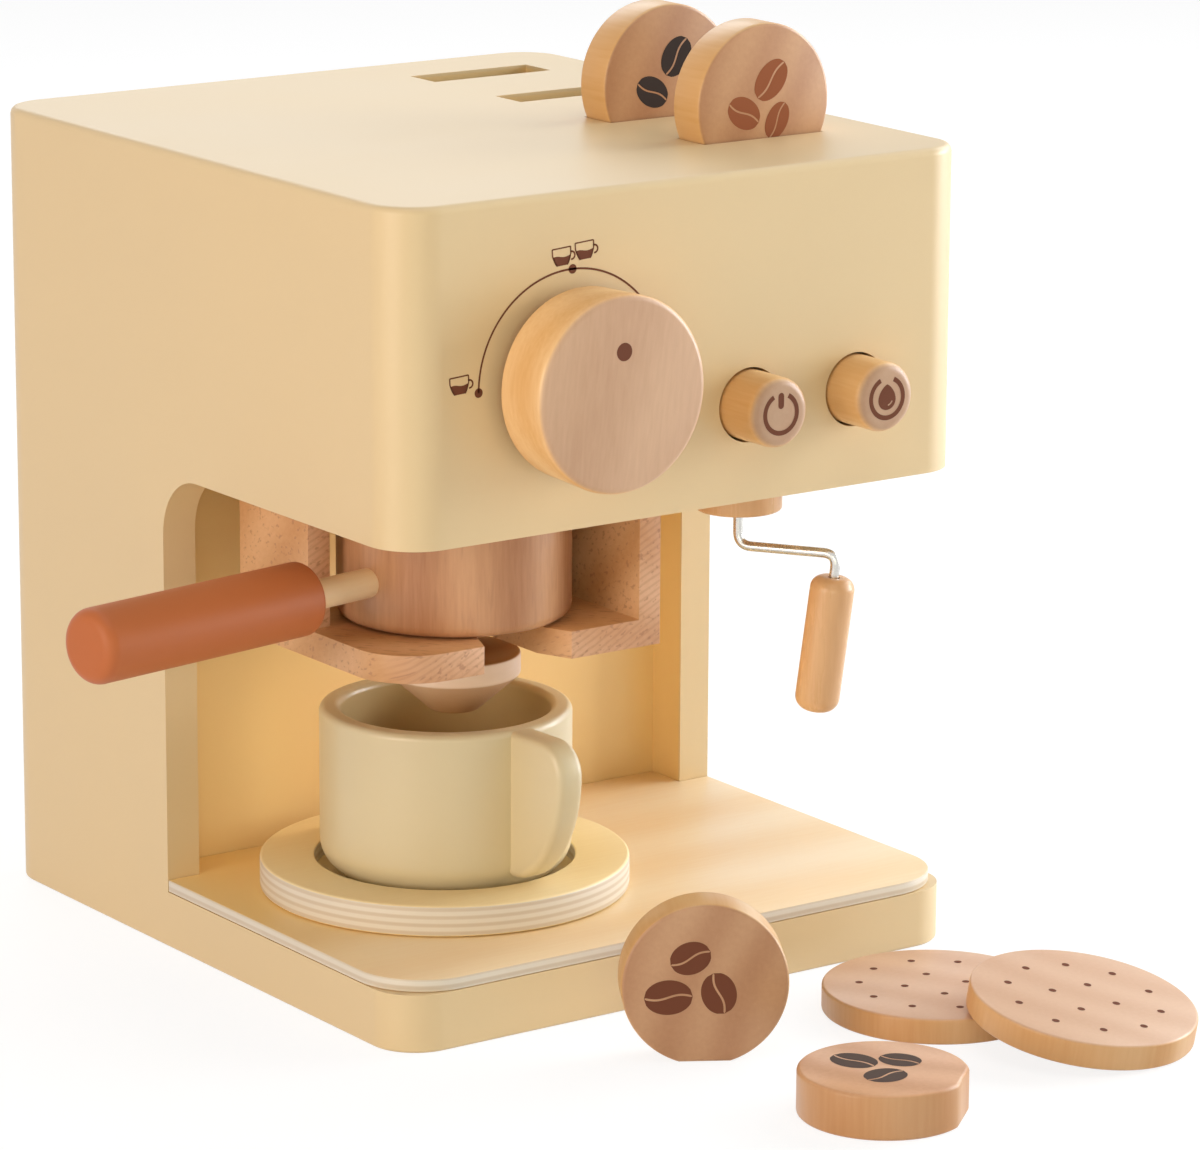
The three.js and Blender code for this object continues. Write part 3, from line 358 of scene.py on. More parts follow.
def paint_shade_in_block(material, low, high, colour, soft=MM / 2):
    """Paints shade: a deeper colour on a surface inside a block of space, fading out round the
    block.
    """
    offset = vector_maths(material, "SUBTRACT", place_in(material), (low + high) / 2)
    outside = vector_maths(material, "SUBTRACT", vector_maths(material, "ABSOLUTE", offset),
                           (high - low) / 2)
    split = add(material, "SeparateXYZ", {0: outside}).node.outputs
    farthest = maths(material, "MAXIMUM", maths(material, "MAXIMUM", split["X"], split["Y"]),
                     split["Z"])
    overlaid(material, ranged(material, farthest, (0, soft), (1, 0)), colour)


cream_paint = paint("cream paint", CREAM, PAINT_ROUGHNESS)

base_low, base_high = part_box("base_board")
lid_low, lid_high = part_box("top_panel")
panel_low, panel_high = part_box("front_panel")
floor_low, floor_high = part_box("head_floor_panel")
corner_radius = 12.5 * MM
lid_edge = 2 * MM
bay_edge_y = 12.5 * MM
bay_corner = 16 * MM
inner_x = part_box("right_side_panel")[0].x
niche_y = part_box("niche_back_panel")[0].y
rear_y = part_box("rear_panel")[0].y

body = slab(base_low, (base_high.x, base_high.y, lid_high.z))
round_edges(body, edges_along(body, Z), corner_radius, CORNER_FACETS)
top_rim = [e for e in body.edges if all(v.co.z > lid_high.z - MM for v in e.verts)]
round_edges(body, top_rim, lid_edge)
bottom_rim = [e for e in body.edges if all(v.co.z < base_low.z + BOARD_GAP for v in e.verts)]
round_edges(body, bottom_rim, EASED_EDGE)

bay = slab((base_low.x - CUT_PAST, base_low.y - CUT_PAST, base_high.z),
           (base_high.x + CUT_PAST, bay_edge_y, floor_low.z))
bay_top_rear = [e for e in edges_along(bay, X)
                if all(v.co.y > 0 and v.co.z > base_high.z + CUT_PAST for v in e.verts)]
round_edges(bay, bay_top_rear, bay_corner, CORNER_FACETS)
niche = slab((-inner_x, base_low.y - CUT_PAST, base_high.z), (inner_x, niche_y, floor_low.z))
# Painted shade: the recess at the back of the bay takes the deeper cream, standing for its shade
# and the light bounced between its walls.
paint_shade_in_block(cream_paint, Vector((-inner_x, bay_edge_y + MM, base_high.z)),
         Vector((inner_x, niche_y, floor_low.z)), PAINTED_SHADE_CREAM)
head_inside = slab((-inner_x, panel_high.y, floor_high.z), (inner_x, rear_y, lid_low.z))

hole_play = 0.6 * MM
button_names = ["power_button", "water_button"]
button_radius = 8.7 * MM
holes = []
for name in button_names:
    centre = middle_of(name)
    centre.y = (panel_low.y + panel_high.y) / 2
    holes.append(drilled(centre, Y, button_radius + hole_play, 2 * (panel_high.y - panel_low.y)))

slot_play = 0.4 * MM
front_slot_low, front_slot_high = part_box("front_pod")
slot_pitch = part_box("second_pod")[0].y - front_slot_low.y
slot_half_length = 18.6 * MM
slot_x = middle_of("front_pod").x
slot_low = Vector((slot_x - slot_half_length, front_slot_low.y - slot_play, lid_low.z))
slot_high = Vector((slot_x + slot_half_length, front_slot_high.y + slot_play, lid_high.z))
slots = []
for i in range(4):
    rearward = Y * slot_pitch * i
    slots.append(slab(slot_low - Z * CUT_PAST + rearward, slot_high + Z * CUT_PAST + rearward))

# Painted shade: the walls inside the lid's slots take the same deeper cream.
paint_shade_in_block(cream_paint, slot_low, slot_high + Y * 3 * slot_pitch - Z * MM, PAINTED_SHADE_CREAM)
shell = carved("housing", body, [bay, niche, head_inside, *holes, *slots], cream_paint)
crisp = [e for e in shell.edges if e.is_manifold and e.calc_face_angle() > CRISP_ABOVE
         and all(abs(v.co.z - base_high.z) > MM / 2 for v in e.verts)]
round_edges(shell, crisp, EASED_EDGE / 2, 2)
housing = piece("painted_housing", shell, cream_paint, "housing", "cream_paint", "base_board",
                "left_side_panel", "right_side_panel", "rear_panel", "niche_back_panel",
                "head_floor_panel", "front_panel", "top_panel")
housing.modifiers.new("even shading", "WEIGHTED_NORMAL").keep_sharp = True


# Base plate. A thin sheet of birch ply let in on the base board, lacquered, with its edge left
# pale. Its grain runs across the toy.
BIRCH_PALE = (0.96, 0.79, 0.53)
BIRCH_DARK = (0.88, 0.65, 0.37)
# Painted shade: a deeper gold for the plate's left part under the head.
BIRCH_PAINTED_SHADE = (0.90, 0.63, 0.25)
PLY_PALE = (0.78, 0.71, 0.60)
PLY_DARK = (0.66, 0.56, 0.43)
# Shares of the dark tone's red, green and blue, and the tilt of the end lines.
LATE_WOOD = (0.7, 0.6, 0.55)
FLECK = (0.55, 0.42, 0.38)
END_LINE_TILT = radians(-62)
# Where a pattern or a slope passes from one tone into the other.
FIGURE_RUN = (0.15, 0.85)
LATE_RUN = (0.45, 1)
FACE_RUN = (0.45, 0.85)
FLECK_RUN = (0.60, 0.70)
PLY_RUN = (0.35, 0.75)
PLY_SLOPE_RUN = (0.35, 0.6)


def wood(name, pale, dark, along=Z, shift=(0, 0, 0), rings=26, waver=3.0, streaks=0.35, flecks=0.0,
         roughness=0.5, faces=None, sides=None, end_lines=0.0):
    """Oiled or bare wood, its grain along a direction: broad rings, fine streaks and flecks.

    Where faces gives a direction, surfaces that look along it have the pale and the dark colour,
    and the sides between them have the pair in sides. End lines cross the faces as fine rings.
    """
    material, shader = new_material(name)
    place = place_in(material)
    turn = X.rotation_difference(along).to_euler()
    grain = add(material, "Mapping", {"Vector": place, "Location": shift, "Rotation": turn},
                vector_type="TEXTURE")

    def stretched(along_grain, across):
        scale = (along_grain, across, across)
        return add(material, "Mapping", {"Vector": grain, "Scale": scale})

    def waves(vector, scale, distortion, fineness, **settings):
        return add(material, "TexWave", {"Vector": vector, "Scale": scale, "Distortion": distortion,
                                         "Detail": 2, "Detail Scale": fineness}, "Fac", **settings)

    growth = waves(stretched(0.25, 1), rings, waver, fineness=0.6, wave_type="RINGS",
                   rings_direction="X")
    fine = noise(material, stretched(1, 14), scale=60, detail=6, roughness=0.6)
    figure = add(material, "Mix", {"Factor": streaks, "A": growth, "B": fine}, "Result")

    def figured(lightest, deepest):
        return mixed(material, ranged(material, figure, FIGURE_RUN), deepest, lightest)

    colour = figured(pale, dark)
    if end_lines:
        tilted = add(material, "Mapping", {"Vector": place, "Rotation": (0, END_LINE_TILT, 0)})
        years = waves(tilted, scale=190, distortion=4, fineness=0.3)
        late = ranged(material, years, LATE_RUN, (0, end_lines))
        colour = mixed(material, late, colour, toned(dark, 1, LATE_WOOD))
    if faces:
        normal = add(material, "TexCoord", {}, "Normal")
        look = vector_maths(material, "DOT_PRODUCT", normal, faces, output="Value")
        on_face = ranged(material, maths(material, "ABSOLUTE", look), FACE_RUN)
        colour = mixed(material, on_face, figured(*sides), colour)
    if flecks:
        spots = noise(material, stretched(0.25, 2.2), scale=430, detail=1)
        sparse = ranged(material, spots, FLECK_RUN, (0, flecks))
        colour = mixed(material, sparse, colour, toned(dark, 1, FLECK))
    fill(shader, {
        "Base Color": colour,
        "Roughness": ranged(material, figure, end=(roughness + 0.08, roughness - 0.08)),
        "Normal": bumped(material, fine, strength=0.12, distance=0.15 * MM),
    })
    return material


def ply_edge(material, low_z, high_z, plies):
    """Lays the edges of thin plies over a wood wherever the surface stands upright."""
    height = add(material, "SeparateXYZ", {0: place_in(material)}, "Z")
    turns = ranged(material, height, (low_z, high_z), (0, plies))
    layer = maths(material, "PINGPONG", turns, 1)
    bands = mixed(material, ranged(material, layer, PLY_RUN), PLY_PALE, PLY_DARK)
    normal = add(material, "NewGeometry", {}, "True Normal")
    rise = add(material, "SeparateXYZ", {0: normal}, "Z")
    level = maths(material, "ABSOLUTE", rise)
    overlaid(material, ranged(material, level, PLY_SLOPE_RUN, (1, 0)), bands)


plate_low, plate_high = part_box("base_plate")
plate_side = inner_x - BOARD_GAP
plate_step_y = bay_edge_y - BOARD_GAP
plate_front_radius = 18 * MM
plate_edge = 0.35 * MM
plate_rim_above = radians(80)
shade_end_x, shade_front_y, shade_rear_y = -60 * MM, -25 * MM, 40 * MM
shade_fade = 60 * MM

plate = slab(plate_low, (plate_high.x, plate_step_y, plate_high.z))
front_corners = [e for e in edges_along(plate, Z) if e.verts[0].co.y < 0]
round_edges(plate, front_corners, plate_front_radius, CORNER_FACETS)
for side in (1, -1):
    bmesh.ops.bisect_plane(plate, geom=[*plate.verts, *plate.edges, *plate.faces],
                           plane_co=(side * plate_side, 0, 0), plane_no=X)
between_walls = [f for f in plate.faces
                 if f.normal.y > 0.9 and abs(f.calc_center_median().x) < plate_side]
pushed = bmesh.ops.extrude_face_region(plate, geom=between_walls)
moved = [v for v in pushed["geom"] if isinstance(v, bmesh.types.BMVert)]
bmesh.ops.translate(plate, vec=Y * (plate_high.y - plate_step_y), verts=moved)
bmesh.ops.delete(plate, geom=between_walls, context="FACES_ONLY")
bmesh.ops.dissolve_limit(plate, angle_limit=NEARLY_FLAT, verts=plate.verts, edges=plate.edges)
rims = [e for e in plate.edges if e.is_manifold and e.calc_face_angle() > plate_rim_above]
round_edges(plate, rims, plate_edge, 2)

plate_wood = wood("birch sheet", BIRCH_PALE, BIRCH_DARK, along=X, shift=(0.02, 0.3, 0.1), rings=9,
                  waver=6, streaks=0.5, roughness=0.42)
# Painted shade: the plate's left rear part, under the head, turns a deeper gold.
paint_shade_in_block(plate_wood, Vector((plate_low.x, shade_front_y, 0)),
         Vector((shade_end_x, shade_rear_y, lid_high.z)), BIRCH_PAINTED_SHADE, soft=shade_fade)
ply_edge(plate_wood, plate_low.z, plate_high.z, plies=3)
piece("birch_base_plate", plate, plate_wood, "housing", "birch_ply", "base_plate")


# Brew knob. A thick maple disc, turned with a slight taper and eased edges, standing off the front
# panel on a small boss. A brown dot is printed near its rim, and the panel round it carries a dial.
INK_BROWN = (0.165, 0.056, 0.030)
MAPLE_PALE = (0.665, 0.425, 0.270)
MAPLE_DARK = (0.590, 0.350, 0.210)
MAPLE_SIDES = ((0.850, 0.555, 0.270), (0.700, 0.380, 0.135))
MAPLE_ROUGHNESS = 0.36
KNOB_PALE = (0.700, 0.450, 0.285)
KNOB_DARK = (0.555, 0.325, 0.195)
INK_LIFT = 0.04 * MM
LATHE_STEPS = 128
FINE_MERGE = 0.005 * MM
ROUND_MERGE = 0.002 * MM


def turned(corners, centre, axis=Z, facets=4, steps=LATHE_STEPS):
    """Turns an outline of (radius, height, edge round) corners about an axis into a solid."""
    bm = bmesh.new()
    verts = [bm.verts.new((radius, 0, height)) for radius, height, edge in corners]
    for pair in zip(verts, verts[1:]):
        bm.edges.new(pair)
    for vert, (radius, height, edge) in zip(verts, corners):
        if edge:
            bmesh.ops.bevel(bm, geom=[vert], offset=edge, offset_type="OFFSET", segments=facets,
                            profile=0.5, affect="VERTICES", material=-1)
    bmesh.ops.spin(bm, geom=[*bm.verts, *bm.edges], cent=(0, 0, 0), axis=Z, angle=tau,
                   steps=steps, use_merge=True)
    bmesh.ops.remove_doubles(bm, verts=bm.verts, dist=ROUND_MERGE)
    bmesh.ops.recalc_face_normals(bm, faces=bm.faces)
    return placed(bm, centre, axis)


knob_low, knob_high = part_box("brew_knob")
knob_centre = middle_of("brew_knob")
knob_centre.y = panel_low.y
knob_radius = (knob_high.x - knob_low.x) / 2
knob_reach = panel_low.y - knob_low.y
knob_rear_radius = 23.2 * MM
knob_standoff = 3.4 * MM
knob_gap = 0.3 * MM
knob_boss_radius = 12 * MM
knob_outline = [
    (0, knob_gap, 0),
    (knob_boss_radius, knob_gap, 0),
    (knob_boss_radius, knob_standoff, 0),
    (knob_rear_radius, knob_standoff, 1.2 * MM),
    (knob_radius, knob_reach, 1.8 * MM),
    (0, knob_reach, 0),
]


def maple(name, facing, face_tone=1.0, side_tone=1.0, pale=MAPLE_PALE, dark=MAPLE_DARK, redder=0.0,
          **grain):
    """Lacquered maple, rosy on the faces that look along a direction and golden between them."""
    channels = (1, 1 - redder, 1 - redder)
    return wood(name, toned(pale, face_tone), toned(dark, face_tone), faces=facing,
                sides=[toned(side, side_tone, channels) for side in MAPLE_SIDES],
                roughness=MAPLE_ROUGHNESS, **grain)


maple_knob = maple("knob maple", Y, side_tone=1.06, pale=KNOB_PALE, dark=KNOB_DARK,
                   along=Vector((0.12, 0.1, 1)), shift=(0.1, 0.3, 0.1), rings=24, waver=6,
                   streaks=0.65)
piece("turned_knob", turned(knob_outline, knob_centre, -Y), maple_knob, "knob", "maple",
      "brew_knob")


def ink(name, colour, roughness=0.7):
    """Screen-printed ink: a matt colour, a little uneven."""
    return paint(name, colour, roughness, mottle=0.06, grain=1400, gloss=0.15)


brown_ink = ink("brown ink", INK_BROWN)


def add_line(curve, points, closed=False):
    """Adds one run of straight lines through some points to a curve."""
    spline = curve.splines.new("POLY")
    spline.points.add(len(points) - 1)
    for knot, point in zip(spline.points, points):
        knot.co = (*point, 1)
    spline.use_cyclic_u = closed


def print_layer(outlines):
    """One printed shape in a plane, facing +Z. Outlines inside its first one are its holes."""
    curve = bpy.data.curves.new("print", "CURVE")
    curve.dimensions = "2D"
    curve.fill_mode = "BOTH"
    for points in outlines:
        add_line(curve, [(x, y, 0) for x, y in points], closed=True)
    bm = baked(new_object("print", curve), FINE_MERGE)
    for face in bm.faces:
        if face.normal.z < 0:
            face.normal_flip()
    return bm


def arc(centre, radius, start, end, steps=48):
    """Points on a circle between two angles in degrees."""
    turns = [radians(start + (end - start) * i / steps) for i in range(steps + 1)]
    return [(centre[0] + radius * cos(a), centre[1] + radius * sin(a)) for a in turns]


def disc_outline(centre, radius):
    return arc(centre, radius, 0, 360)[:-1]


def stroke(points, width):
    """The outline of a line of even width through some points, with square ends."""
    left, right = [], []
    for i, point in enumerate(points):
        before = Vector(points[max(i - 1, 0)])
        after = Vector(points[min(i + 1, len(points) - 1)])
        side = (after - before).normalized().orthogonal() * width / 2
        left.append(tuple(Vector(point) + side))
        right.append(tuple(Vector(point) - side))
    return left + right[::-1]


def faced(bm, centre, facing, upward):
    """Moves a shape made in X and Y to its place, with its Z facing one way and its Y upward."""
    across = upward.cross(facing).normalized()
    turn = turn_to(across, facing.cross(across).normalized(), facing)
    bmesh.ops.transform(bm, matrix=Matrix.Translation(centre) @ turn, verts=bm.verts)
    return bm


def printed(name, outlines, centre, facing, body, colour=brown_ink, upward=Z):
    """Lays a print on a surface: its own X and Y run along the surface, Y towards upward.

    An outline that is a list of outlines is one shape with holes.
    """
    bm = bmesh.new()
    for outline in outlines:
        layer = print_layer(outline if isinstance(outline[0], list) else [outline])
        mesh = bpy.data.meshes.new("layer")
        layer.to_mesh(mesh)
        layer.free()
        bm.from_mesh(mesh)
        bpy.data.meshes.remove(mesh)
    thing = finished(name, faced(bm, centre + facing * INK_LIFT, facing, upward), colour)
    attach(thing, body)


knob_face = Vector((knob_centre.x, knob_low.y, knob_centre.z))
mark_rise = 10.4 * MM
mark_radius = 2.2 * MM
printed("knob_mark", [disc_outline((0, mark_rise), mark_radius)], knob_face, -Y, "knob")

dial_radius = 26.8 * MM
dial_line = 0.5 * MM
dial_dot = 1.15 * MM
dial_marks = [stroke(arc((0, 0), dial_radius, 0, 180, 96), dial_line)]
dial_marks += [disc_outline((dial_radius * cos(a), dial_radius * sin(a)), dial_dot)
               for a in (0, pi / 2, pi)]
printed("dial_arc", dial_marks, knob_centre, -Y, "housing")


def cup_sign(centre, size=6.8 * MM, tilt=radians(4)):
    """A small cup in outline with coffee in its lower half, as closed outlines."""
    line = size * 0.05
    brim, foot, tall, level = size * 0.39, size * 0.21, size * 0.62, size * 0.32
    ear_radius, ear_line, ripple = size * 0.14, line * 1.3, size * 0.03
    turn = Matrix.Rotation(tilt, 2)

    def moved(points):
        return [tuple(Vector(centre) + turn @ Vector(p)) for p in points]

    def reach(height):
        """Half the cup's width at a height. Its wall bulges out from the foot to the brim."""
        return foot + (brim - foot) * min(1, (height / tall) * 1.6) ** 0.7

    left_wall = [(-reach(tall * i / 8), tall * i / 8 - tall / 2) for i in range(9)]
    right_wall = [(-x, y) for x, y in left_wall]
    coffee = [(x, y) for x, y in left_wall if y + tall / 2 <= level]
    surface = [(reach(level) * (i / 6 - 1), level - tall / 2 + ripple * sin(i * tau / 12 + 0.6))
               for i in range(13)]
    coffee = coffee + surface + [(-x, y) for x, y in coffee[::-1]]
    rim = [left_wall[-1], right_wall[-1]]
    ear = arc((reach(level * 1.3) + size * 0.02, -tall * 0.02), ear_radius, -100, 110, 16)
    lines = [stroke(points, line) for points in (left_wall, right_wall, rim)]
    return [moved(outline) for outline in (coffee, *lines, stroke(ear, ear_line))]


one_cup = cup_sign((-32.2 * MM, 2.4 * MM))
two_cups = cup_sign((-3.1 * MM, 30.0 * MM)) + cup_sign((3.5 * MM, 30.9 * MM))
printed("single_cup_sign", one_cup, knob_centre, -Y, "housing")
printed("double_cup_sign", two_cups, knob_centre, -Y, "housing")


# Push buttons. Two maple plugs in round holes, turned with a soft front edge, each on a hidden
# spring. One is printed with a power sign, the other with a drop in an open ring.
button_edge = 2.4 * MM
power_ring = 4.8 * MM
water_ring = 4.95 * MM
ring_line = 1.2 * MM
power_gap, water_gap = 27, 24  # degrees either side of the top
bar_radius, bar_foot, bar_top = 0.85 * MM, power_ring * 0.42, power_ring * 0.9
drop_width, drop_height, drop_rise = 3.1 * MM, 3.2 * MM, 0.2 * MM
glint_drop, glint_radius, glint_line = 0.1 * MM, 1.75 * MM, 0.35 * MM
flange_gap, flange_depth = 0.3 * MM, 4 * MM
stem_radius = 3.2 * MM


def open_ring(radius, gap):
    """A ring with a gap on top."""
    return stroke(arc((0, 0), radius, 90 + gap, 450 - gap), ring_line)


button_maple = maple("button maple", Y, face_tone=0.84, along=Y, shift=(0.3, 0.2, 0.1), rings=30,
                     waver=3, streaks=0.6)
power_bar = (arc((0, bar_top), bar_radius, 0, 180, 12)
             + arc((0, bar_foot), bar_radius, 180, 360, 12))
drop = [(drop_width * sin(t) * sqrt(sin(t / 2)), drop_rise + drop_height * cos(t))
        for t in [tau * i / 48 for i in range(48)]]
glint = stroke(arc((0, -glint_drop), glint_radius, -80, -25, 12), glint_line)
signs = {"power_button": [open_ring(power_ring, power_gap), power_bar],
         "water_button": [open_ring(water_ring, water_gap), [drop, glint]]}
for name in button_names:
    low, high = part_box(name)
    centre = middle_of(name)
    centre.y = low.y
    depth = high.y - low.y
    flange_radius = (high.x - low.x) / 2
    flange_front = panel_high.y - low.y + flange_gap
    flange_back = flange_front + flange_depth
    outline = [
        (0, 0, 0),
        (button_radius, 0, button_edge),
        (button_radius, flange_front, 0),
        (flange_radius, flange_front, 0),
        (flange_radius, flange_back, 0),
        (stem_radius, flange_back, 0),
        (stem_radius, depth, 0),
        (0, depth, 0),
    ]
    body_name = name.replace("_button", "_push_button")
    piece(name + "_plug", turned(outline, centre, Y, facets=6, steps=96), button_maple, body_name,
          "maple", name)
    printed(name + "_sign", signs[name], centre, -Y, body_name)


# Catch. Two L-shaped rails of coarse beech screwed under the head. The filter stands on their inner
# lips, and the nozzle's neck passes the slot between them.
BEECH_PALE = (0.790, 0.490, 0.305)
BEECH_DARK = (0.640, 0.340, 0.180)
BEECH_SIDES = ((0.750, 0.440, 0.225), (0.570, 0.285, 0.112))
rail_edge = 0.8 * MM


def eased_copy(node, radius, sharp=radians(60)):
    """A merged copy of a plain solid with its sharp edges eased."""
    bm = merged(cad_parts[node].data, MERGE)
    bmesh.ops.dissolve_limit(bm, angle_limit=2 * NEARLY_FLAT, verts=bm.verts, edges=bm.edges)
    edges = [e for e in bm.edges if e.is_manifold and e.calc_face_angle() > sharp]
    round_edges(bm, edges, radius, 2)
    return bm


rail_beech = wood("coarse beech", BEECH_PALE, BEECH_DARK, along=Vector((0.7, -0.65, 0.28)),
                  shift=(0.1, 0.25, 0.4), rings=16, waver=5, streaks=0.5, flecks=0.45, faces=Y,
                  sides=BEECH_SIDES, end_lines=0.3)
for side in ("left", "right"):
    node = side + "_catch_rail"
    piece(side + "_beech_rail", eased_copy(node, rail_edge), rail_beech, "housing", "beech", node)


# Filter. A turned beech basket, bored out on top for a pod. A round nozzle is glued into it from
# below, and a dowel at its side carries a painted grip.
TERRACOTTA = (0.500, 0.138, 0.038)
DOWEL_PALE = (0.96, 0.74, 0.47)
DOWEL_DARK = (0.88, 0.62, 0.37)
BASKET_PALE = (0.680, 0.380, 0.205)
BASKET_DARK = (0.400, 0.175, 0.075)
# Painted light and shade on the nozzle: darker gold where it faces down or up, pale on its upright
# rim.
NOZZLE_SHADE_PALE = (0.60, 0.335, 0.125)
NOZZLE_SHADE_DARK = (0.52, 0.250, 0.08)
NOZZLE_LIT_SIDES = ((0.93, 0.72, 0.56), (0.83, 0.60, 0.42))


def heading(degrees):
    """The level direction at an angle from X towards Y."""
    return Vector((cos(radians(degrees)), sin(radians(degrees)), 0))


def under(node):
    """The point of the table under a plain solid's middle."""
    centre = middle_of(node)
    centre.z = 0
    return centre


basket_low, basket_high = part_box("filter_basket")
basket_axis = under("filter_basket")
basket_radius = 29.4 * MM
basket_bore = 22.5 * MM
basket_floor = basket_high.z - 16 * MM
basket_outline = [
    (0, basket_low.z, 0),
    (basket_radius, basket_low.z, 2.8 * MM),
    (basket_radius, basket_high.z, 0.8 * MM),
    (basket_bore, basket_high.z, 0.8 * MM),
    (basket_bore, basket_floor, 1 * MM),
    (0, basket_floor, 0),
]
basket_beech = wood("basket beech", BASKET_PALE, BASKET_DARK, shift=(0.08, -0.01, 0.2), rings=19,
                    waver=9, streaks=0.5, flecks=0.1, roughness=0.36)
piece("beech_basket", turned(basket_outline, basket_axis), basket_beech, "filter", "beech",
      "filter_basket")

nozzle_low, nozzle_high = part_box("filter_nozzle")
nozzle_rim = 16.7 * MM
nozzle_tip = 6 * MM
nozzle_neck = 6 * MM
rim_bottom = nozzle_low.z + 9.5 * MM
rim_top = rim_bottom + 5.4 * MM
nozzle_outline = [
    (0, nozzle_low.z, 0),
    (nozzle_tip, nozzle_low.z, 0.8 * MM),
    (nozzle_rim, rim_bottom, 0.6 * MM),
    (nozzle_rim, rim_top, 0.6 * MM),
    (nozzle_neck, rim_top, 0),
    (nozzle_neck, nozzle_high.z, 0),
    (0, nozzle_high.z, 0),
]
# Painted light and shade: the downward-facing cone is a darker gold, the upright rim a pale lit
# colour.
nozzle_beech = wood("nozzle beech", NOZZLE_SHADE_PALE, NOZZLE_SHADE_DARK, along=X, shift=(0.3, 0.1, 0.2),
                    rings=24, waver=3, faces=Z, sides=NOZZLE_LIT_SIDES)
piece("turned_nozzle", turned(nozzle_outline, basket_axis), nozzle_beech, "nozzle", "maple",
      "filter_nozzle")

outward = heading(-169.9)
handle_level = basket_low.z + 12.2 * MM
handle_root = basket_axis + Z * handle_level
dowel_radius = 3.7 * MM
dowel_start, dowel_end = 15.4 * MM, 64.6 * MM
dowel_outline = [(0, dowel_start, 0), (dowel_radius, dowel_start, 0), (dowel_radius, dowel_end, 0),
                 (0, dowel_end, 0)]
dowel_wood = wood("dowel", DOWEL_PALE, DOWEL_DARK, along=outward, shift=(0.2, 0.2, 0.1), rings=30,
                  streaks=0.7)
piece("filter_dowel", turned(dowel_outline, handle_root, outward, steps=48), dowel_wood, "filter",
      "pale_dowel", "handle_dowel")

grip_start, grip_length, grip_radius = 50.6 * MM, 69.3 * MM, 9.2 * MM
grip_end = grip_start + grip_length
bore = dowel_radius + 0.15 * MM
bore_end = grip_start + 14 * MM
grip_outline = [
    (0, bore_end, 0),
    (bore, bore_end, 0),
    (bore, grip_start, 0.4 * MM),
    (grip_radius, grip_start, 2.2 * MM),
    (grip_radius, grip_end, 3.4 * MM),
    (0, grip_end, 0),
]
grip_paint = paint("terracotta paint", TERRACOTTA, roughness=0.5, gloss=0.35)
piece("terracotta_grip", turned(grip_outline, handle_root, outward, facets=8), grip_paint,
      "filter", "terracotta_paint", "handle_grip")


# Saucer. A disc of birch ply with a round recess for the cup. It is turned, so that its plies lie
# bare at the edge.
SAUCER_PALE = (0.97, 0.82, 0.48)
SAUCER_DARK = (0.88, 0.69, 0.36)
saucer_low, saucer_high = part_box("saucer")
saucer_centre = under("saucer")
saucer_radius = (saucer_high.x - saucer_low.x) / 2
recess_radius = 33 * MM
recess_floor = saucer_high.z - 4.6 * MM
saucer_outline = [
    (0, saucer_low.z, 0),
    (saucer_radius, saucer_low.z, 0.8 * MM),
    (saucer_radius, saucer_high.z, 0.8 * MM),
    (recess_radius, saucer_high.z, 0.5 * MM),
    (recess_radius, recess_floor, 0),
    (0, recess_floor, 0),
]
saucer_birch = wood("saucer birch", SAUCER_PALE, SAUCER_DARK, along=X, shift=(0.1, 0.15, 0.3),
                    rings=9, waver=5, streaks=0.5, roughness=0.45)
ply_edge(saucer_birch, saucer_low.z, saucer_high.z, plies=8)
piece("ply_saucer", turned(saucer_outline, saucer_centre, facets=3), saucer_birch, "saucer_body",
      "birch_ply", "saucer")


# Cup. Turned thick, with a round foot and a sawn ear glued on at the rim, then sprayed cream inside
# and out.
CUP_CREAM = (0.700, 0.590, 0.365)
# Painted shade: the darker colour of the cup's inside.
CUP_INSIDE_SHADE = (0.600, 0.440, 0.200)

cup_low, cup_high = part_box("cup")
cup_shift = Vector((0.5, 0.2, 0)) * MM
cup_axis = saucer_centre + cup_shift
cup_radius, cup_bore = 31.9 * MM, 26.5 * MM
cup_floor = cup_low.z + 6 * MM
cup_outline = [
    (0, cup_low.z, 0),
    (cup_radius, cup_low.z, 9 * MM),
    (cup_radius, cup_high.z, 1.8 * MM),
    (cup_bore, cup_high.z, 1.8 * MM),
    (cup_bore, cup_floor, 5 * MM),
    (0, cup_floor, 0),
]
ear_angle = radians(-86.5)
ear_root = cup_radius - 2.7 * MM
ear_tip = cup_radius + 19.4 * MM
ear_top = cup_high.z - 0.2 * MM
ear_foot = cup_low.z + 5.5 * MM
ear_corner = 8.5 * MM
ear_thickness = 7.8 * MM
ear_edge = 2 * MM


def swept(pulls, steps):
    """Points along the smooth curve that some points pull, from the first of them to the last."""
    run = []
    for i in range(steps + 1):
        points = [Vector(p) for p in pulls]
        while len(points) > 1:
            points = [a.lerp(b, i / steps) for a, b in zip(points, points[1:])]
        run.append(tuple(points[0]))
    return run


corner_z = ear_top - ear_corner
ear_outline = [(ear_root, ear_foot)]
ear_outline += swept([(cup_radius, ear_foot), ((cup_radius + ear_tip) / 2, ear_foot),
                      (ear_tip, (ear_foot + corner_z) / 2), (ear_tip, corner_z)], 20)
ear_outline += arc((ear_tip - ear_corner, corner_z), ear_corner, 0, 90, 12)[1:]
ear_outline += [(ear_root, ear_top)]


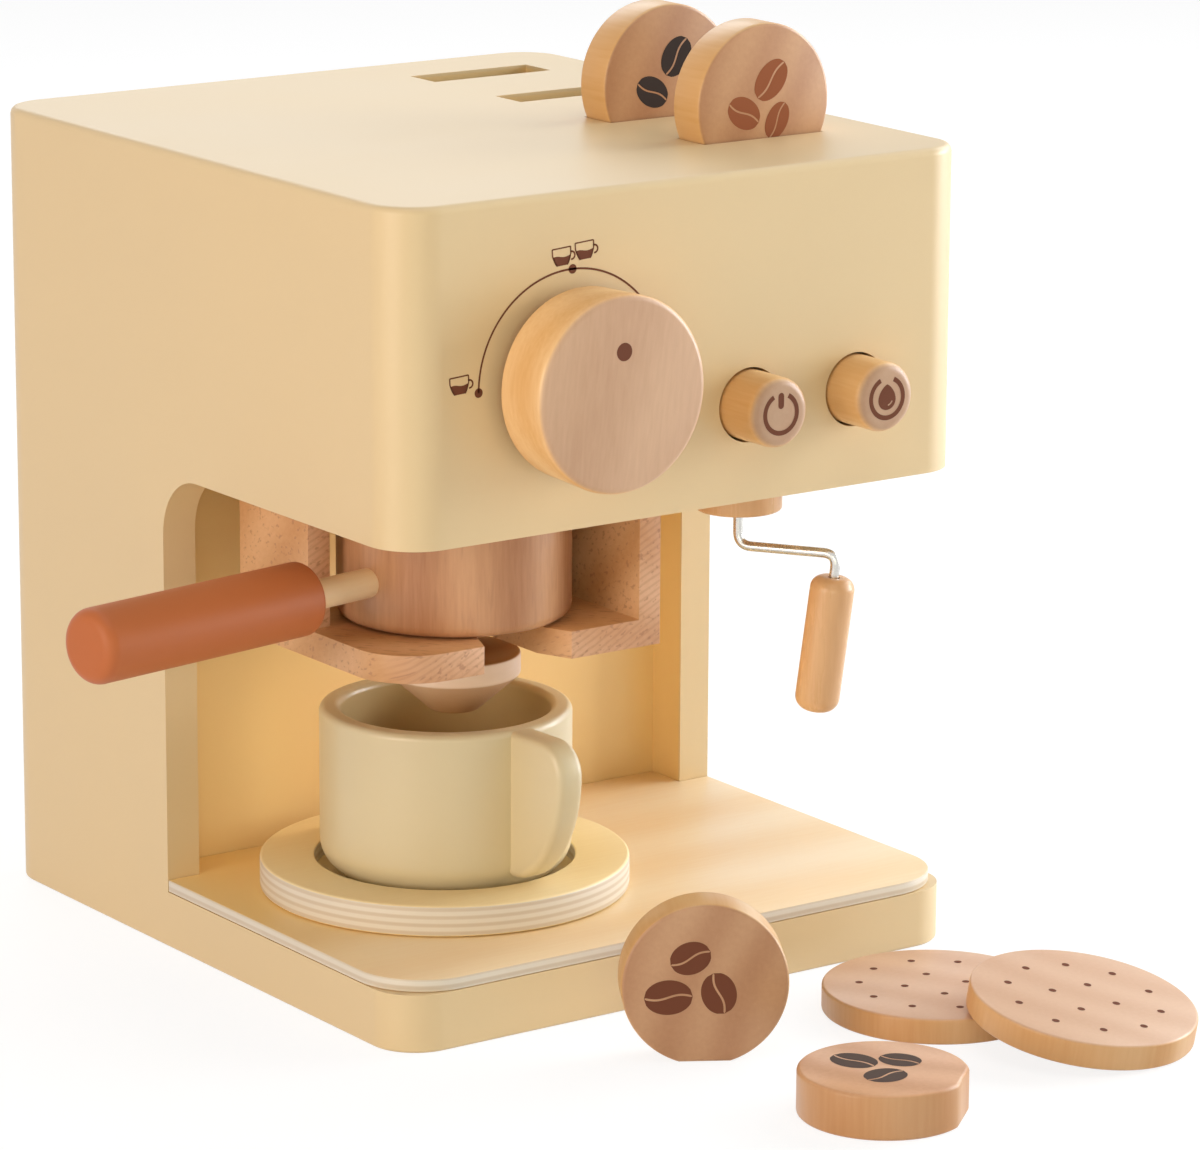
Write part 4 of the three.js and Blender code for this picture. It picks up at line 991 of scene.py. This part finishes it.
def plate_of(outline, thickness, edge, facets=4):
    """A board sawn to an outline in X and Y, centred on its thickness, with rounded edges."""
    bm = bmesh.new()
    face = bm.faces.new([bm.verts.new((x, y, -thickness / 2)) for x, y in outline])
    if face.normal.z > 0:
        face.normal_flip()
    lifted = bmesh.ops.extrude_face_region(bm, geom=[face], use_keep_orig=True)
    top = [v for v in lifted["geom"] if isinstance(v, bmesh.types.BMVert)]
    bmesh.ops.translate(bm, vec=Z * thickness, verts=top)
    bmesh.ops.recalc_face_normals(bm, faces=bm.faces)
    rims = [e for e in bm.edges
            if e.is_manifold and abs(e.verts[0].co.z - e.verts[1].co.z) < edge / 9]
    round_edges(bm, rims, edge, facets)
    return bm


ear = plate_of(ear_outline, ear_thickness, ear_edge)
stand_up = Matrix.Rotation(ear_angle, 4, "Z") @ Matrix.Rotation(pi / 2, 4, "X")
bmesh.ops.transform(ear, matrix=Matrix.Translation(cup_axis) @ stand_up, verts=ear.verts)


def paint_shade_near_axis(material, axis, reach, colour):
    """Paints shade: gives what lies within a distance of an upright axis a darker colour."""
    flat = vector_maths(material, "MULTIPLY", place_in(material), (1, 1, 0))
    off_axis = vector_maths(material, "DISTANCE", flat, (axis.x, axis.y, 0), output="Value")
    overlaid(material, ranged(material, off_axis, (reach, reach + 1.5 * MM), (1, 0)), colour)


cup_paint = paint("cup paint", CUP_CREAM, roughness=0.36)
# Painted shade: the cup's inside and the inner edge of its rim are darker than the outside.
paint_shade_near_axis(cup_paint, cup_axis, cup_bore, CUP_INSIDE_SHADE)
piece("turned_cup", turned(cup_outline, cup_axis, facets=10), cup_paint, "cup_body",
      "cream_paint", "cup")
piece("cup_ear", ear, cup_paint, "cup_body", "cream_paint")


# Steam wand. A steel rod bent by hand, hanging from a turned collar under the head, with a maple
# handle pushed onto its lower leg.
STEEL = (0.62, 0.61, 0.58)
WAND_PALE = (0.770, 0.475, 0.240)
WAND_DARK = (0.640, 0.350, 0.155)

collar_low, collar_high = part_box("wand_collar")
wand_axis = under("wand_collar")
collar_radius, collar_bore = 11 * MM, 1.4 * MM
collar_outline = [
    (collar_bore, collar_low.z, 0),
    (collar_radius, collar_low.z, 0.9 * MM),
    (collar_radius, collar_high.z, 0),
    (collar_bore, collar_high.z, 0),
    (collar_bore, collar_low.z, 0),
]
wand_maple = wood("wand maple", WAND_PALE, WAND_DARK, shift=(0.4, 0.1, 0.2), rings=40, waver=2,
                  streaks=0.6, roughness=0.3)
piece("turned_collar", turned(collar_outline, wand_axis, steps=64), wand_maple, "housing",
      "maple", "wand_collar")


def steel(name, colour, roughness):
    """Bright metal, a little uneven in its tone and its haze."""
    material, shader = new_material(name)
    uneven = noise(material, place_in(material), scale=700)
    fill(shader, {
        "Metallic": 1,
        "Base Color": mixed(material, uneven, toned(colour, 0.9), toned(colour, 1.1)),
        "Roughness": ranged(material, uneven, end=(roughness - 0.05, roughness + 0.08)),
    })
    return material


rod_radius = 1.25 * MM
sideways = heading(-55)
lean = radians(7)
leg_down = (-sideways * sin(lean) - Z * cos(lean)).normalized()
rod_top = wand_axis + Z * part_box("wand_rod")[1].z
knee = wand_axis + Z * (collar_low.z - 9.5 * MM)
elbow = knee + sideways * 26 * MM
leg_end = elbow + leg_down * 26 * MM
rod_bend = 3.6 * MM


def bent_rod(name, corners, radius, bend, sides=24, facets=10):
    """A round rod through some corners, bent to an even radius at each one between its ends."""
    curve = bpy.data.curves.new(name, "CURVE")
    curve.dimensions = "3D"
    curve.bevel_depth = radius
    curve.bevel_resolution = sides // 4
    curve.use_fill_caps = True
    points = [corners[0]]
    for before, corner, after in zip(corners, corners[1:], corners[2:]):
        start = corner + (before - corner).normalized() * bend
        end = corner + (after - corner).normalized() * bend
        points += swept([start, corner, end], facets)
    points.append(corners[-1])
    add_line(curve, points)
    return baked(new_object(name, curve), ROUND_MERGE)


rod_steel = steel("drawn steel", STEEL, roughness=0.25)
rod = bent_rod("rod", [rod_top, knee, elbow, leg_end], rod_radius, rod_bend)
piece("steel_rod", rod, rod_steel, "wand", "steel", "wand_rod")

handle_top = elbow + leg_down * 6 * MM
handle_length, handle_radius = 35 * MM, 5.6 * MM
handle_bore, handle_bore_end = 1.5 * MM, handle_length - 20 * MM
handle_outline = [
    (0, handle_bore_end, 0),
    (handle_bore, handle_bore_end, 0),
    (handle_bore, handle_length, 0.2 * MM),
    (handle_radius, handle_length, 3 * MM),
    (handle_radius, 0, 3.6 * MM),
    (0, 0, 0),
]
handle_end = handle_top + leg_down * handle_length
piece("maple_wand_handle", turned(handle_outline, handle_end, -leg_down, facets=8, steps=72),
      wand_maple, "wand_grip", "maple", "wand_handle")


# Pods. Thick maple discs with one flat on the rim to stand on, eased all round. Three coffee beans
# are printed on each, brown on two of them and near black on the others.
POD_PALE = (0.610, 0.345, 0.185)
POD_DARK = (0.480, 0.240, 0.118)
INK_DARK = (0.040, 0.028, 0.024)
INK_RED_BROWN = (0.310, 0.098, 0.040)
# Painted sheen: a lighter near black for the lying pod's beans.
INK_SHEEN_DARK = (0.085, 0.058, 0.048)
pod_radius = 20.2 * MM
pod_flat_half = 18  # degrees either side of the flat's middle
pod_thickness = 11 * MM
pod_edge = 0.9 * MM
pith_aside, pith_down = 90 * MM, 30 * MM
dark_ink = ink("dark ink", INK_DARK)
red_brown_ink = ink("red brown ink", INK_RED_BROWN)


def pod_blank():
    """A pod lying in X and Y with its flat towards -Y, centred on its thickness."""
    outline = arc((0, 0), pod_radius, -90 + pod_flat_half, 270 - pod_flat_half, 120)
    return plate_of(outline, pod_thickness, pod_edge, facets=3)


def bean(centre, length, width, turn, gap=0.062, wave=0.063):
    """The two halves of a coffee bean with a wavy crease left bare between them."""
    steps = 24
    halves = []
    for side in (1, -1):
        rim, crease = [], []
        for i in range(steps + 1):
            t = -1 + 2 * i / steps
            x = t * length / 2
            reach = sqrt(max(0, 1 - t * t)) * width / 2
            inner = sin(t * pi) * width * wave + side * gap * width / 2
            rim.append((x, side * reach))
            crease.append((x, side * min(side * inner, reach)))
        halves.append(rim + crease[::-1])
    spin = Matrix.Rotation(radians(turn), 2)
    return [[tuple(Vector(centre) + spin @ Vector(p)) for p in half] for half in halves]


def bean_print(layout):
    """Three beans: each a place, a length and a width as shares of the pod's radius, and a turn."""
    outlines = []
    for x_share, y_share, length_share, width_share, turn in layout:
        outlines += bean((x_share * pod_radius, y_share * pod_radius), length_share * pod_radius,
                         width_share * pod_radius, turn)
    return outlines


front_bean_shares = [
    (0.10, 0.29, 0.59, 0.41, 46),
    (-0.31, -0.09, 0.53, 0.38, -30),
    (0.20, -0.22, 0.49, 0.33, 61),
]
second_bean_shares = [
    (0.10, 0.33, 0.55, 0.42, 54),
    (-0.27, -0.09, 0.52, 0.37, -29),
    (0.30, -0.20, 0.49, 0.33, 61),
]
standing_bean_shares = [
    (-0.18, 0.34, 0.50, 0.40, 19),
    (-0.44, -0.14, 0.58, 0.43, 2),
    (0.16, -0.10, 0.52, 0.42, -75),
]
lying_bean_shares = [
    (0.16, 0.38, 0.60, 0.48, -116),
    (0.33, -0.13, 0.52, 0.44, -108),
    (-0.25, -0.08, 0.54, 0.46, -38),
]


def pod_piece(name, node, body, centre, facing, flat_towards, beans, colour, face_tone=1.0,
              side_tone=1.0, redder=0.0):
    across = facing.cross(flat_towards)
    timber = maple(name + " maple", facing, face_tone, side_tone, POD_PALE, POD_DARK, redder,
                   along=facing, shift=centre + across * pith_aside + flat_towards * pith_down,
                   rings=22, waver=4, streaks=0.5)
    piece(name, faced(pod_blank(), centre, facing, -flat_towards), timber, body, "maple", node)
    face = centre + facing * pod_thickness / 2
    printed(name + "_beans", bean_print(beans), face, facing, body, colour, -flat_towards)


def upright_centre(node):
    """The middle of the disc that a pod standing on its flat was cut from."""
    centre = middle_of(node)
    centre.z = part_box(node)[1].z - pod_radius
    return centre


for name, body_name, beans, colour, tone in (
        ("front_pod", "pod_in_front_slot", front_bean_shares, red_brown_ink, 1.0),
        ("second_pod", "pod_in_second_slot", second_bean_shares, dark_ink, 0.92)):
    pod_piece("maple_" + name, name, body_name, upright_centre(name), -Y, -Z, beans, colour, tone)

standing_facing = heading(-121)
pod_piece("maple_standing_pod", "standing_pod", "pod_on_edge", upright_centre("standing_pod"),
          standing_facing, -Z, standing_bean_shares, brown_ink, face_tone=0.9, side_tone=0.85)

lying_flat = heading(-50)
lying_centre = Vector((-13 * MM, -189.6 * MM, middle_of("lying_pod").z))
# Painted sheen: the lying pod's beans are printed in a lighter near black that stands for the sheen
# on them.
pod_piece("maple_lying_pod", "lying_pod", "pod_lying", lying_centre, Z, lying_flat,
          lying_bean_shares, ink("dark ink with painted sheen", INK_SHEEN_DARK), face_tone=1.25, side_tone=0.74,
          redder=0.14)


# Biscuits. Thin maple discs with eased edges and small brown dots in rings. One lies flat and the
# other leans on its rim.
biscuit_radius = 28 * MM
biscuit_thickness = 6.5 * MM
biscuit_edge = 0.7 * MM
dot_radius = 0.95 * MM
inner_ring, inner_dots = 0.28, 4
outer_ring, outer_dots = 0.67, 10


def dots_in_rings(inner_turn, outer_turn):
    """Small discs in two rings, each with its own turn in degrees."""
    dots = []
    for share, count, turn in ((inner_ring, inner_dots, inner_turn),
                               (outer_ring, outer_dots, outer_turn)):
        for i in range(count):
            angle = radians(turn + 360 / count * i)
            centre = (share * biscuit_radius * cos(angle), share * biscuit_radius * sin(angle))
            dots.append(disc_outline(centre, dot_radius))
    return dots


def biscuit_piece(name, node, body, centre, facing, shift, dots):
    outline = [(0, 0, 0), (biscuit_radius, 0, biscuit_edge),
               (biscuit_radius, biscuit_thickness, biscuit_edge), (0, biscuit_thickness, 0)]
    timber = maple(name + " maple", facing, face_tone=1.1, side_tone=0.86, redder=0.06,
                   along=facing, shift=shift, rings=18, waver=5, streaks=0.5)
    piece(name, turned(outline, centre, facing), timber, body, "maple", node)
    printed(name + "_dots", dots, centre + facing * biscuit_thickness, facing, body, brown_ink, Y)


flat_centre = under("flat_biscuit")
biscuit_piece("maple_flat_biscuit", "flat_biscuit", "biscuit_flat", flat_centre, Z,
              (-0.05, -0.2, 0), dots_in_rings(68, 34))

lean_reach = 40.4 * MM
rest_gap = 0.3 * MM
towards_flat = heading(110.4)
rise = atan((biscuit_thickness + rest_gap) / lean_reach)
low_edge = flat_centre - towards_flat * (biscuit_radius + lean_reach)
slope = towards_flat * cos(rise) + Z * sin(rise)
leaning_facing = Z * cos(rise) - towards_flat * sin(rise)
leaning_centre = low_edge + slope * biscuit_radius
biscuit_piece("maple_leaning_biscuit", "leaning_biscuit", "biscuit_leaning", leaning_centre,
              leaning_facing, (0.2, -0.1, 0), dots_in_rings(45, 29))


# Button springs. Each coil lies between its button's flange and the guide board.
for name in button_names:
    node = name + "_spring"
    low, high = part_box(node)
    coil = merged(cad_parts[node].data, FINE_MERGE)
    spring = piece(name + "_coil", coil, rod_steel, "housing", "steel", node)
    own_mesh(spring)


# Hidden fittings. Inside the head are the knob's dowel and disc, the buttons' guide board, the
# wand's washer and the screws of the catch. They keep their plain solids.
PINE_PALE = (0.760, 0.560, 0.310)
PINE_DARK = (0.660, 0.440, 0.210)
ZINC = (0.66, 0.64, 0.58)

pine = wood("bare pine", PINE_PALE, PINE_DARK, along=X, rings=20, streaks=0.6, roughness=0.6)
zinc = steel("zinc", ZINC, roughness=0.38)
for names, material in ((("knob_dowel", "knob_stop_disc", "button_guide_board"), pine),
                        (("wand_rod_washer", "catch_screw_1", "catch_screw_2", "catch_screw_3",
                          "catch_screw_4"), zinc)):
    for name in names:
        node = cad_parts[name]
        node.data.materials.clear()
        node.data.materials.append(material)
